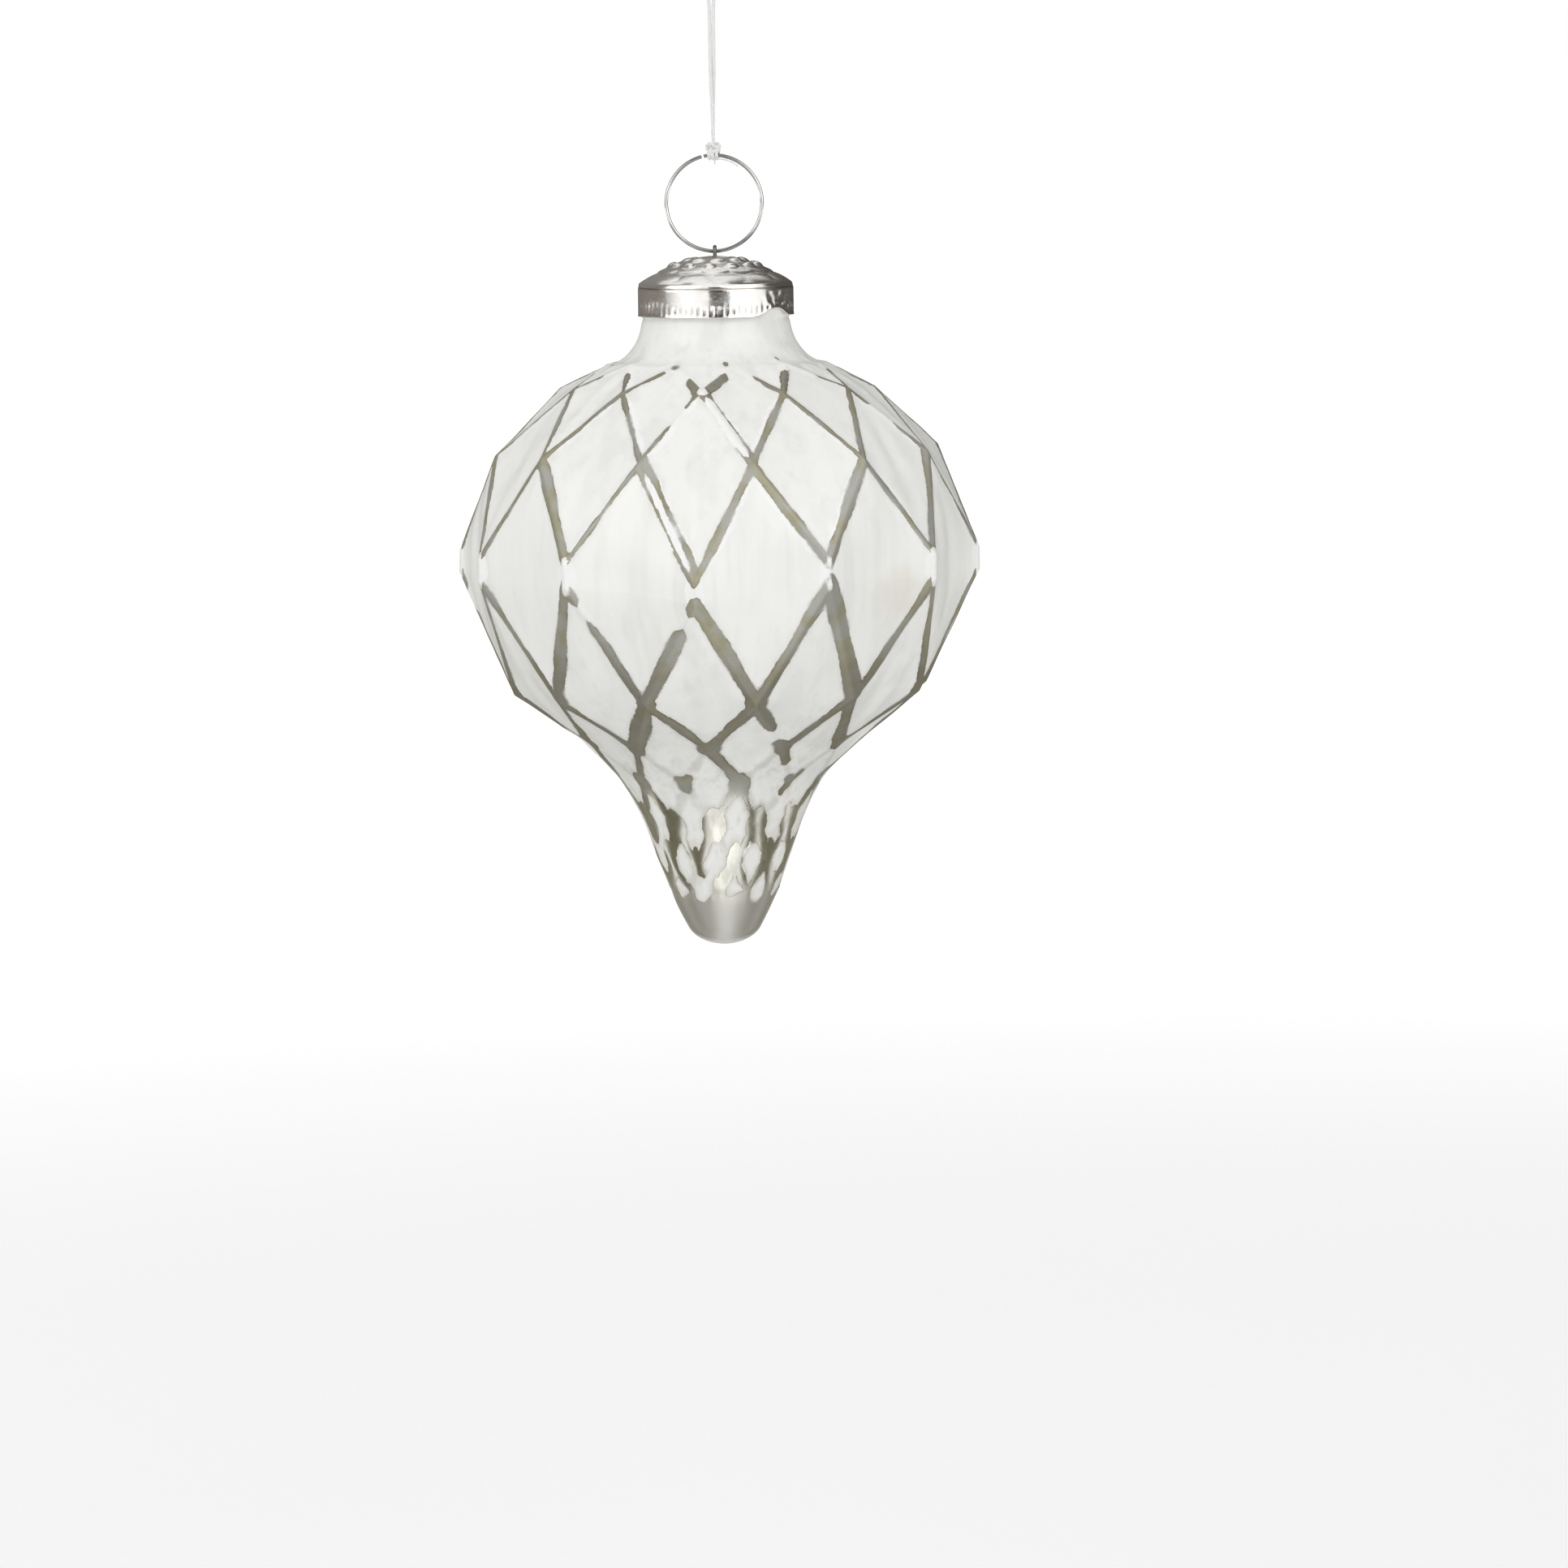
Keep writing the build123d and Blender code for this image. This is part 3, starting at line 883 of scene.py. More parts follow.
    own_patch: ClassVar[dict[tuple[int, int], Span]] = {
        (1, 0): (0.80, 0.24), (1, 11): (0.85, 0.24), (1, 1): (0.45, 0.60), (2, 0): (-0.95, 0.85),
        (4, 10): (-0.60, 1.6), (4, 11): (-0.70, 1.7), (4, 0): (0.01, 0.01), (4, 1): (-0.50, 1.3),
        (6, 0): (1.95, 1.10), (6, 11): (1.55, 1.60), (6, 1): (1.50, 2.10), (7, 11): (1.10, 1.15),
        (7, 0): (1.55, 2.10), (7, 1): (0.60, 0.80), (8, 0): (1.75, 2.35), (8, 1): (1.45, 3.20),
        (8, 2): (1.70, 2.60), (8, 11): (1.75, 2.60), (9, 0): (1.05, 3.20), (9, 1): (1.15, 3.30),
        (9, 10): (1.30, 3.30), (9, 11): (0.72, 2.90), (10, 0): (1.10, 1.80), (10, 1): (0.75, 1.30),
        (10, 11): (0.60, 1.20),
    }

    @property
    def last_row(self) -> int:
        """The lowest row."""
        return self.first_row + len(self.rows) - 1

    def azimuth(self, row: int, place: int) -> float:
        """Azimuth of a node in degrees, before it is shifted."""
        return self.turn + 360.0 / self.count * (place + 0.5 * (row % 2))

    def spot(self, around: float, radius: float, height: float) -> np.ndarray:
        """A place by its azimuth in degrees, its radius and its height above the widest row."""
        angle = math.radians(around)
        return np.array([radius * math.sin(angle), -radius * math.cos(angle), self.equator + height])

    def node(self, row: int, place: int, end: int = 0, plain: bool = False) -> np.ndarray:
        """A node of the lattice.

        Args:
            row: Row, counted from the top as in the part's source.
            place: Place round the row, from the front.
            end: 1 or -1 for the upper or lower end of the widest row's short ridges.
            plain: Whether the node keeps to its row.

        Returns:
            Its place in millimetres.
        """
        height, radius = self.rows[row - self.first_row]
        place %= self.count
        around = self.azimuth(row, place)
        if row == self.widest:
            height += end * self.upright / 2
        if not plain:
            own = self.node_shift.get((row, place))
            if own is None:
                swing, lift, out = self._draw(row, place)[:3] * (0.7, 0.35, 0.15)
            else:
                swing, lift, out = *own, 0.0
            around, height, radius = around + swing, height + lift, radius + out
        return self.spot(around, radius, height)

    def _draw(self, *key: int) -> np.ndarray:
        """Six even numbers from -1 to 1 that belong to one node or edge."""
        return np.random.RandomState([self.seed, *[k + 50 for k in key]]).uniform(-1.0, 1.0, 6)

    def wear(self, row: int, place: int, side: Side) -> Wear:
        """How one edge is worn.

        Args:
            row: Row of its upper node.
            place: Place of that node.
            side: Which way the edge runs down.

        Returns:
            Its wear, its own or drawn for it.
        """
        place %= self.count
        own = self.own_wear.get((row, place, side))
        if own is not None:
            return own
        draw = self._draw(row, place, side.value + 1)
        width = self.edge_wear[row - self.first_row] * (1.0 + 0.25 * draw[0])
        covered, crest = (0.0, 0.0), -1.0
        if row == self.first_row:
            covered = (0.0, 0.28 + 0.15 * draw[2])
        elif row > self.widest + 1:
            if draw[1] > 0.35:
                width = self.covered_margin
        elif draw[1] > 0.86:
            start = 0.15 + 0.5 * abs(draw[2])
            covered = (start, start + 0.08 + 0.15 * abs(draw[3]))
        elif draw[1] < -0.86 and row <= self.widest:
            width, crest = width + 0.35, 0.40
        # A painted highlight band beside some edges above the widest row
        painted_highlight = 0.9 * draw[5] if row <= self.widest and abs(draw[5]) > 0.45 else 0.0
        return Wear(width, covered, 0.35 * draw[4] * width, crest, painted_highlight)

    def patch(self, row: int, place: int) -> Span:
        """The bare patch round a node.

        Args:
            row: The node's row.
            place: Its place.

        Returns:
            Half the patch's width, below 0 where paint covers it, and half its height.
        """
        own = self.own_patch.get((row, place % self.count))
        if own is not None:
            return own
        wide, tall = self.node_wear[row - self.first_row]
        draw = self._draw(row, place % self.count)
        return wide * (1.0 + 0.22 * draw[3]), tall * (1.0 + 0.22 * draw[4])

    def blank(self) -> Piece:
        """The flat-faced lattice, drawn up row by row from a ring of twelve.

        Returns:
            The blank, its faces marked by number in the attribute panel.
        """
        stops: list[tuple[float, float, bool]] = []  # height, radius, and whether the ring is turned
        for row, (height, radius) in enumerate(self.rows, self.first_row):
            half = self.upright / 2 if row == self.widest else 0.0
            stops.append((height + half, radius, True))
            if half:
                stops.append((height - half, radius, False))
        height, radius, _ = stops[0]
        start = math.radians(self.azimuth(self.first_row, 0))
        piece = start_ring("glass_drop", self.count, radius * MM, (self.equator + height) * MM, start)
        for (h0, r0, _), (h1, r1, turned) in zip(stops, stops[1:]):
            grow_ring((h1 - h0) * MM, r1 / r0, math.pi / self.count if turned else 0.0)
        bpy.ops.mesh.select_mode(type="FACE")
        bpy.ops.mesh.select_all(action="SELECT")
        mesh = bmesh.from_edit_mesh(piece.data)
        for face in mesh.faces:
            face.select_set(abs(face.normal.z) > 1e-4)
        bpy.ops.mesh.quads_convert_to_tris(quad_method="SHORTEST_DIAGONAL")
        close_edit()
        marks = piece.data.attributes.new("panel", "INT", "FACE")
        marks.data.foreach_set("value", np.arange(len(piece.data.polygons), dtype=np.int32))
        return piece

    def name_corner(self, point: Vector) -> tuple[int, int]:
        """Names the node at a point of the blank.

        Args:
            point: The point in metres.

        Returns:
            The node's row and place.
        """
        height = point[2] / MM - self.equator
        row = min(range(len(self.rows)), key=lambda i: abs(self.rows[i][0] - height)) + self.first_row
        around = math.degrees(math.atan2(point[0], -point[1])) - self.turn
        return row, round(around / 360.0 * self.count - 0.5 * (row % 2)) % self.count

    def read_panels(self, mesh: bpy.types.Mesh) -> list[Panel]:
        """Reads each blank face as part of its diamond.

        Args:
            mesh: The blank's mesh.

        Returns:
            The panels in the order of the faces.
        """
        panels = []
        for face in mesh.polygons:
            corners = [self.name_corner(mesh.vertices[v].co) for v in face.vertices]
            rows = [row for row, _ in corners]
            row = max(set(rows), key=rows.count)
            around = sorted({place for corner_row, place in corners if corner_row == row})
            left, right = around[0], around[-1]
            if right - left > 1:  # the face spans the place where the count starts again
                left, right = right, left
            half = 0 if len(corners) == 4 else (1 if min(rows) < row else -1)
            panels.append(Panel(row, left, right, (left + row % 2) % self.count, half))
        return panels

    def shape(self, piece: Piece, panels: list[Panel]) -> None:
        """Swells the panels, raises the ridges and marks where the glass is bare.

        Args:
            piece: The finely divided blank.
            panels: What read_panels gave for it.
        """
        mesh = piece.data
        owner = np.zeros(len(mesh.vertices), int)
        for face, mark in zip(mesh.polygons, mesh.attributes["panel"].data):
            owner[list(face.vertices)] = mark.value
        flat = points_of(mesh) / MM
        placed = np.empty_like(flat)
        bare, ridge, painted_highlight = (np.empty(len(flat)) for _ in range(3))
        for index, panel in enumerate(panels):
            own = np.flatnonzero(owner == index)
            placed[own], bare[own], ridge[own], painted_highlight[own] = self.shape_panel(flat[own], panel)
        wave = self.waviness(placed)
        move_points(mesh, placed * MM)
        out = read_numbers(mesh.vertex_normals, "vector", 3)
        if np.einsum("ij,ij->i", out[:, :2], placed[:, :2]).mean() < 0:
            out = -out
        height = placed[:, 2] - self.equator
        upper = smooth(height, *self.ridges_end)
        lift = self.ridge_height * (hump(ridge, 0.0, self.ridge_width) - self.ridge_sunk) * upper + wave
        placed += out * lift[:, None]
        radius = np.hypot(placed[:, 0], placed[:, 1])
        heights, radii = (list(v)[::-1] for v in zip(*self.rows))
        even = np.interp(height, heights, radii) * self.evenness
        share = self.roundness * (1 - smooth(height, *self.facets_end))
        placed[:, :2] *= (1 + share * (even / radius - 1))[:, None]
        move_points(mesh, placed * MM)
        # Kept for the material: the bare margin, the painted highlight margin and the distance to a ridge
        for name, values in (("bare", bare), ("painted_highlight", painted_highlight), ("ridge", ridge)):
            keep_number(mesh, name, values)

    def waviness(self, points: np.ndarray) -> np.ndarray:
        """The slow unevenness of hand-blown glass.

        Args:
            points: Places in millimetres.

        Returns:
            The lift at each point in millimetres.
        """
        x, y, z = points.T
        wave = np.sin(x * 0.31 + 1.3 + z * 0.11) * np.sin(y * 0.27 - z * 0.23 + 0.4)
        fine = np.sin(x * 0.83 - z * 0.61 + 0.9) * np.sin(y * 0.77 + z * 0.49)
        return self.waves[0] * wave + self.waves[1] * fine

    def shape_panel(self, flat: np.ndarray, panel: Panel) -> tuple[np.ndarray, ...]:
        """Places the vertices of one blank face.

        Args:
            flat: The vertices on the flat face, in millimetres.
            panel: The panel that they belong to.

        Returns:
            Their places, the bare margin (above 0 inside a bare line), the distance to a ridge and
            the painted highlight margin (above 0 inside a painted highlight band).
        """
        s, t, level = self.shares(flat, panel)
        p, q = s + t - 1.0, s - t
        inside = 16 * s * (1 - s) * t * (1 - t)
        row, between = panel.row, panel.between
        ends = level[:, None]
        lefts, rights = (
            (self.node(row, place, 1) * (1 + ends) + self.node(row, place, -1) * (1 - ends)) / 2
            for place in (panel.left, panel.right)
        )
        top = self.node(row - 1, between, -1) if row > self.first_row else self.edge_apex(row, between, 1)
        bottom = self.node(row + 1, between, 1) if row < self.last_row else self.edge_apex(row, between, -1)
        sides, ends_middle = (lefts + rights) / 2, (top + bottom) / 2
        weights = [(1 - s) * (1 - t), s * (1 - t), (1 - s) * t, s * t]
        soft = sum(w[:, None] * c for w, c in zip(weights, (bottom, rights, lefts, top)))
        swell = inside * (self.fullness - 0.5)
        soft = soft + swell[:, None] * (sides - ends_middle)
        middle = sides * self.fullness + ends_middle * (1 - self.fullness)
        up = p[:, None]
        spine = middle + (top - bottom) / 2 * up + (ends_middle - middle) * up**2
        corner = np.where((q > 0)[:, None], rights, lefts)
        rib = corner * (1 - np.abs(up)) + np.where(up > 0, top, bottom) * np.abs(up)
        reach = np.abs(q) / np.maximum(1 - np.abs(p), 1e-6)
        blunt = self.blunt
        reach = np.clip(np.sqrt(reach**2 + blunt**2) - blunt * (1 - reach), 0, 1)[:, None]
        folded = spine + reach * (rib - spine)
        placed = soft * (1 - self.crease) + folded * self.crease
        placed = placed + self.pleats(panel, p, q, inside)[:, None] * self.outward(placed)
        return placed, *self.margins(placed, panel)

    def shares(self, flat: np.ndarray, panel: Panel) -> tuple[np.ndarray, np.ndarray, np.ndarray]:
        """Reads where vertices lie in their diamond.

        Args:
            flat: The vertices on the flat face, in millimetres.
            panel: The panel that they belong to.

        Returns:
            The shares from its bottom towards its right and its left corner, and the place up the
            strip of the widest row, from -1 to 1.
        """
        row, half = panel.row, panel.half
        left, right = (self.node(row, place, half, True) for place in (panel.left, panel.right))
        across = right - left
        if half:
            apex = self.node(row - half, panel.between, -half, True)
            middle = (left + right) / 2
            rise = apex - middle
            p = (flat - middle) @ rise / (rise @ rise) * float(half)
            q = 2.0 * (flat - middle) @ across / (across @ across)
            s, t = (1.0 + p + q) / 2, (1.0 + p - q) / 2
            level = np.full(len(flat), float(half))
        else:
            s = (flat - left) @ across / (across @ across)
            t = 1.0 - s
            level = (flat[:, 2] - self.equator) / (self.upright / 2)
        return self.crowded(s), self.crowded(t), level

    def margins(self, placed: np.ndarray, panel: Panel) -> tuple[np.ndarray, np.ndarray, np.ndarray]:
        """Measures how points lie to the bare lines, the ridges and the painted highlight bands.

        Args:
            placed: The points in millimetres.
            panel: The panel that they belong to.

        Returns:
            The bare margin, the distance to a ridge and the painted highlight margin, as for shape_panel.
        """
        margin = np.full(len(placed), -9.0)
        painted_highlight = np.full(len(placed), -9.0)
        nearest = np.full(len(placed), 99.0)
        for start, end, greyed in self.edges_of(panel):
            gap, along = self.to_segment(placed, start, end)
            line, highlight_band = greyed(along, gap)
            margin, painted_highlight = np.maximum(margin, line), np.maximum(painted_highlight, highlight_band)
            nearest = np.minimum(nearest, gap)
        # Painted highlight round the nodes of the widest row
        if panel.row == self.widest:
            for place in (panel.left, panel.right):
                away = placed - self.node(panel.row, place)
                near = np.hypot(np.hypot(away[:, 0], away[:, 1]), away[:, 2] * 0.6)
                painted_highlight = np.maximum(painted_highlight, self.node_painted_highlight - near)
        power = self.patch_power
        for node, (wide, tall) in self.nodes_of(panel):
            away = placed - node
            flat_gap = np.hypot(away[:, 0], away[:, 1])
            gap = (flat_gap**power + np.abs(away[:, 2] * wide / tall) ** power) ** (1 / power)
            if wide > 0:
                margin = np.maximum(margin, wide - gap)
            else:
                margin = np.minimum(margin, gap + wide)
        return margin, nearest, painted_highlight

    def pleats(self, panel: Panel, p: np.ndarray, q: np.ndarray, inside: np.ndarray) -> np.ndarray:
        """Soft upright pleats in a panel.

        Args:
            panel: The panel.
            p: Place up the panel, from -1 to 1.
            q: Place across it, from -1 to 1.
            inside: 0 on its ridges, 1 in its middle.

        Returns:
            The lift at each point, in millimetres outwards.
        """
        draw = self._draw(panel.row, panel.left, 7)
        lift = np.zeros(len(q))
        for k, way in ((0, 1), (3, -1)):
            centre = 0.42 * draw[k] + 0.12 * draw[k + 1] * p
            depth = self.pleat * (0.45 + 0.55 * abs(draw[k + 2])) * way
            lift += depth * np.clip(1 - np.abs(q - centre) / (0.26 + 0.12 * abs(draw[k + 1])), 0, None)
        return lift * np.sqrt(np.clip(inside, 0, 1)) * (0.35 if panel.row > self.widest + 2 else 1.0)

    @staticmethod
    def outward(points: np.ndarray) -> np.ndarray:
        """Level unit vectors from the axis to points."""
        out = points * (1.0, 1.0, 0.0)
        return out / np.linalg.norm(out, axis=1)[:, None]

    def edge_apex(self, row: int, between: int, way: int) -> np.ndarray:
        """Where the half diamonds of the first and last rows would end, out of sight.

        Args:
            row: The first or the last row.
            between: Place of the diamond's top and bottom corners.
            way: 1 above the first row, -1 below the last.

        Returns:
            The place in millimetres.
        """
        height, radius = self.beyond_top if way > 0 else self.beyond_bottom
        return self.spot(self.azimuth(row + 1, between), radius, height)

    def crowded(self, t: np.ndarray) -> np.ndarray:
        """Draws evenly spaced shares of a panel in to its ridges."""
        t = np.clip(t, 0.0, 1.0)
        return t - self.crowd * np.sin(2 * math.pi * t) / (2 * math.pi)

    @staticmethod
    def to_segment(points: np.ndarray, start: np.ndarray, end: np.ndarray) -> tuple[np.ndarray, np.ndarray]:
        """Measures points to a segment.

        Args:
            points: The points.
            start: One end of the segment.
            end: Its other end.

        Returns:
            Their distances to it, and the share along it of the nearest place.
        """
        run = end - start
        along = np.clip((points - start) @ run / (run @ run), 0.0, 1.0)
        return np.linalg.norm(points - (start + along[:, None] * run), axis=1), along

    def edges_of(self, panel: Panel) -> Iterable[tuple[np.ndarray, np.ndarray, Callable]]:
        """The ridges round a diamond.

        Args:
            panel: A panel of the diamond.

        Yields:
            Upper end, lower end and the margins along each ridge.
        """
        row, left, right, between = panel.row, panel.left, panel.right, panel.between
        if row > self.first_row:
            top = self.node(row - 1, between, -1)
            yield top, self.node(row, left, 1), self.margin_of(row - 1, between, LEFT, 1)
            yield top, self.node(row, right, 1), self.margin_of(row - 1, between, RIGHT, -1)
        if row < self.last_row:
            bottom = self.node(row + 1, between, 1)
            yield self.node(row, left, -1), bottom, self.margin_of(row, left, RIGHT, 1)
            yield self.node(row, right, -1), bottom, self.margin_of(row, right, LEFT, -1)
        if row == self.widest:
            for place in (left, right):
                ends = self.node(row, place, 1), self.node(row, place, -1)
                yield *ends, lambda along, gap: (-0.4 - gap, -9.0)

    def nodes_of(self, panel: Panel) -> Iterable[tuple[np.ndarray, Span]]:
        """The corners of a diamond.

        Args:
            panel: A panel of the diamond.

        Yields:
            Each corner and the size of the bare patch round it.
        """
        row, between = panel.row, panel.between
        for place in (panel.left, panel.right):
            for end in (1, -1) if row == self.widest else (0,):
                yield self.node(row, place, end), self.patch(row, place)
        for other, end in ((row - 1, -1), (row + 1, 1)):
            if self.first_row <= other <= self.last_row:
                yield self.node(other, between, end), self.patch(other, between)

    def margin_of(
        self, row: int, place: int, side: Side, flank: int
    ) -> Callable[[np.ndarray, np.ndarray], tuple[np.ndarray, np.ndarray]]:
        """The bare margin and the painted highlight margin on one flank of an edge.

        Args:
            row: Row of the edge's upper node.
            place: Place of that node.
            side: Which way the edge runs down.
            flank: 1 on the edge's right, -1 on its left.

        Returns:
            A function of the share along the edge and the distance to it. Its results are above 0
            on bare glass and in the painted highlight band.
        """
        wear = self.wear(row, place, side)
        start, end = wear.covered
        half = wear.width + flank * wear.lean

        def margin(along: np.ndarray, gap: np.ndarray) -> tuple[np.ndarray, np.ndarray]:
            """Measures points on the flank.

            Args:
                along: Their shares along the edge.
                gap: Their distances to it.

            Returns:
                Their bare and their painted highlight margins.
            """
            width = half * (1.0 + 0.12 * np.sin(along * 9.0 + row + 2.1 * place))
            if end > start:
                cover = 1 - smooth(along, end - 0.05, end + 0.10)
                cover = smooth(along, start - 0.06, start + 0.03) * cover
                width = width - cover * (width - self.covered_margin)
            line = width - gap
            ends = smooth(np.minimum(along, 1 - along), 0.02, 0.20)
            # The painted highlight band beside the line, on one flank
            highlight_band = (width + abs(wear.painted_highlight)) * ends - gap if wear.painted_highlight * flank > 0 else -gap - 1.0
            # Paint left along the ridge's top gets the painted highlight too
            if wear.crest > 0:
                inner = smooth(np.minimum(along, 1 - along), 0.02, 0.16)
                line = np.minimum(line, gap - wear.crest * inner + (1 - inner) * 0.5)
                highlight_band = np.maximum(highlight_band, width - gap)
            return line, highlight_band

        return margin

    def build(self) -> Piece:
        """Makes the whole drop.

        Returns:
            The drop, marked for its material.
        """
        piece = self.blank()
        panels = self.read_panels(piece.data)
        edit(piece, "FACE")
        bpy.ops.mesh.subdivide(number_cuts=self.cuts, smoothness=0.0)
        close_edit()
        self.shape(piece, panels)
        self.soften(piece)
        self.grow_rows(piece, True, self.neck_profile(), 9)
        self.grow_rows(piece, False, self.tip_profile(), 8)
        close_up(piece)
        self.mark_bare(piece.data)
        return piece

    def soften(self, piece: Piece) -> None:
        """Rounds the ridges of the lower cone, more towards the tip.

        Args:
            piece: The shaped lattice.
        """
        edit(piece, "VERT", "DESELECT")
        above_tip = self.rows[-1][0] + self.rim_band
        for below, times in self.softened:
            bpy.ops.mesh.select_all(action="DESELECT")
            mesh = bmesh.from_edit_mesh(piece.data)
            for vertex in mesh.verts:
                vertex.select_set(above_tip < vertex.co.z / MM - self.equator < below)
            bmesh.update_edit_mesh(piece.data)
            bpy.ops.mesh.vertices_smooth(factor=0.5, repeat=times)
        close_edit()

    def grow_rows(self, piece: Piece, upper: bool, profile: Sequence[Span], even: int) -> None:
        """Extrudes an open rim along a profile, easing its twelve sides into a circle, and closes it.

        Args:
            piece: The drop.
            upper: Whether the upper rim grows.
            profile: Radius and height above the widest row of each new ring.
            even: How many rings the easing takes.
        """
        middle = self.equator * MM
        edit(piece, "EDGE", "DESELECT")
        select_edges(piece, lambda edge: edge.is_boundary and (edge.verts[0].co.z > middle) == upper)
        mesh = bmesh.from_edit_mesh(piece.data)
        start = [v for v in mesh.verts if v.select]
        base = sum(math.hypot(v.co.x, v.co.y) for v in start) / len(start)
        level = sum(v.co.z for v in start) / len(start)
        for index, (radius, height) in enumerate(profile):
            bpy.ops.mesh.extrude_region_move(TRANSFORM_OT_translate={"value": (0.0, 0.0, 0.0)})
            mesh = bmesh.from_edit_mesh(piece.data)
            ease = float(smooth(index + 1, 0, even))
            target = (self.equator + height) * MM
            for v in mesh.verts:
                if not v.select:
                    continue
                own = math.hypot(v.co.x, v.co.y)
                goal = radius * MM * (1 + (own / base - 1) * (1 - ease))
                v.co.x *= goal / own
                v.co.y *= goal / own
                v.co.z = target + (v.co.z - level) * (1 - ease)
            base, level = radius * MM, target
            bmesh.update_edit_mesh(piece.data)
        close_edit()
        self.close_rim(piece)

    def neck_profile(self) -> list[Span]:
        """The flare, the neck, its rim and the lining down the inside.

        Returns:
            Radius and height above the widest row of each ring.
        """
        centre = self.neck_radius + self.flare_radius
        profile = []
        for k in range(1, 15):
            angle = math.radians(self.flare_angle * (1 - k / 14))
            radius = centre - self.flare_radius * math.cos(angle) - self.waist * 0.5 * (k / 14) ** 4
            profile.append((radius, self.flare_top - self.flare_radius * math.sin(angle)))
        rim = self.neck_top - self.rim_round
        for k in range(1, 7):
            radius = self.neck_radius - self.waist * math.sin(math.pi * min(1.0, k / 6 * 1.6 + 0.25)) ** 2
            profile.append((radius, self.flare_top + (rim - self.flare_top) * (k / 6)))
        half = self.neck_wall / 2
        for k in range(1, 9):
            angle = math.radians(180.0 * k / 8)
            radius = self.neck_radius - half + half * math.cos(angle)
            profile.append((radius, rim + self.rim_round * math.sin(angle)))
        inner = self.neck_radius - self.neck_wall
        profile += [(inner + step, height) for step, height in self.lining_top]
        for height, radius in self.rows[1:]:
            sunk = self.lining_sunk if height > 0 else 0.0
            profile.append((radius * self.lining_share - self.neck_wall, height - sunk))
        return profile + list(self.lining_tip)

    def tip_profile(self) -> list[Span]:
        """The round tip down from the lowest row.

        Returns:
            Radius and height above the widest row of each ring.
        """
        bottom = self.rows[-1][0]
        first = self.rows[-1][1] * self.evenness
        start, sweep = (math.radians(a) for a in (self.tip_arc[0], self.tip_arc[1] - self.tip_arc[0]))
        last, foot = self.tip_radius * math.cos(start), self.tip_end + self.tip_round * (1 - math.sin(start))
        profile = []
        for k in range(1, 13):
            share = k / 12
            bulge = self.tip_bulge * math.sin(math.pi * share)
            profile.append((first + (last - first) * share + bulge, bottom + (foot - bottom) * share))
        for k in range(1, 15):
            angle = start + sweep * k / 14
            height = self.tip_end + self.tip_round * (1 - math.sin(angle))
            profile.append((self.tip_radius * math.cos(angle), height))
        return profile

    def close_rim(self, piece: Piece) -> None:
        """Closes a small open rim to a point.

        Args:
            piece: The drop.
        """
        edit(piece, "EDGE", "DESELECT")
        reach = 1.5 * MM
        select_edges(
            piece,
            lambda edge: edge.is_boundary and all(math.hypot(v.co.x, v.co.y) < reach for v in edge.verts),
        )
        bpy.ops.mesh.extrude_region_move(TRANSFORM_OT_translate={"value": (0.0, 0.0, 0.0)})
        bpy.ops.mesh.merge(type="CENTER")
        close_edit()

    def mark_bare(self, mesh: bpy.types.Mesh) -> None:
        """Marks the neck as painted but for its flecks, and the tip and the lining as bare.

        Args:
            mesh: The finished drop's mesh.
        """
        points = points_of(mesh) / MM
        height = points[:, 2] - self.equator
        radius = np.hypot(points[:, 0], points[:, 1])
        around = np.arctan2(points[:, 0], -points[:, 1])
        above = height > self.rows[0][0] - self.rim_band
        bare = np.where(above, -1.6, kept_number(mesh, "bare"))
        for azimuth, level, wide in self.flecks:
            aside = np.sin((around - math.radians(azimuth)) / 2) * 2 * radius
            gap = np.hypot(aside / wide, (height - level) / self.fleck_height)
            bare = np.maximum(bare, 0.30 * (1.4 - gap))
        inner = (radius < self.neck_radius - self.neck_wall * 0.6) & (height > 33.0)
        bare = np.where(inner, 2.0, bare)
        lap = 0.7 * np.cos(self.count * (around - math.radians(self.turn)) + 0.6)
        lap += 0.5 * np.sin(5 * around + 1.0)
        bare = np.maximum(bare, (self.rows[-1][0] - 0.8 + lap - height) * 0.8)
        keep_number(mesh, "bare", bare)
        for name, plain in (("painted_highlight", -9.0), ("ridge", 9.0)):
            keep_number(mesh, name, np.where(above, plain, kept_number(mesh, name)))


# ---- Stamped cap ----


@dataclass(frozen=True)
class Boss:
    """A ring of round bosses pressed up from the cap's dome."""

    count: int
    radius_at: float  # of the bosses' middles
    wide: float  # half a boss, round the cap
    deep: float  # and along its radius
    proud: float
    turn: float  # azimuth of the first


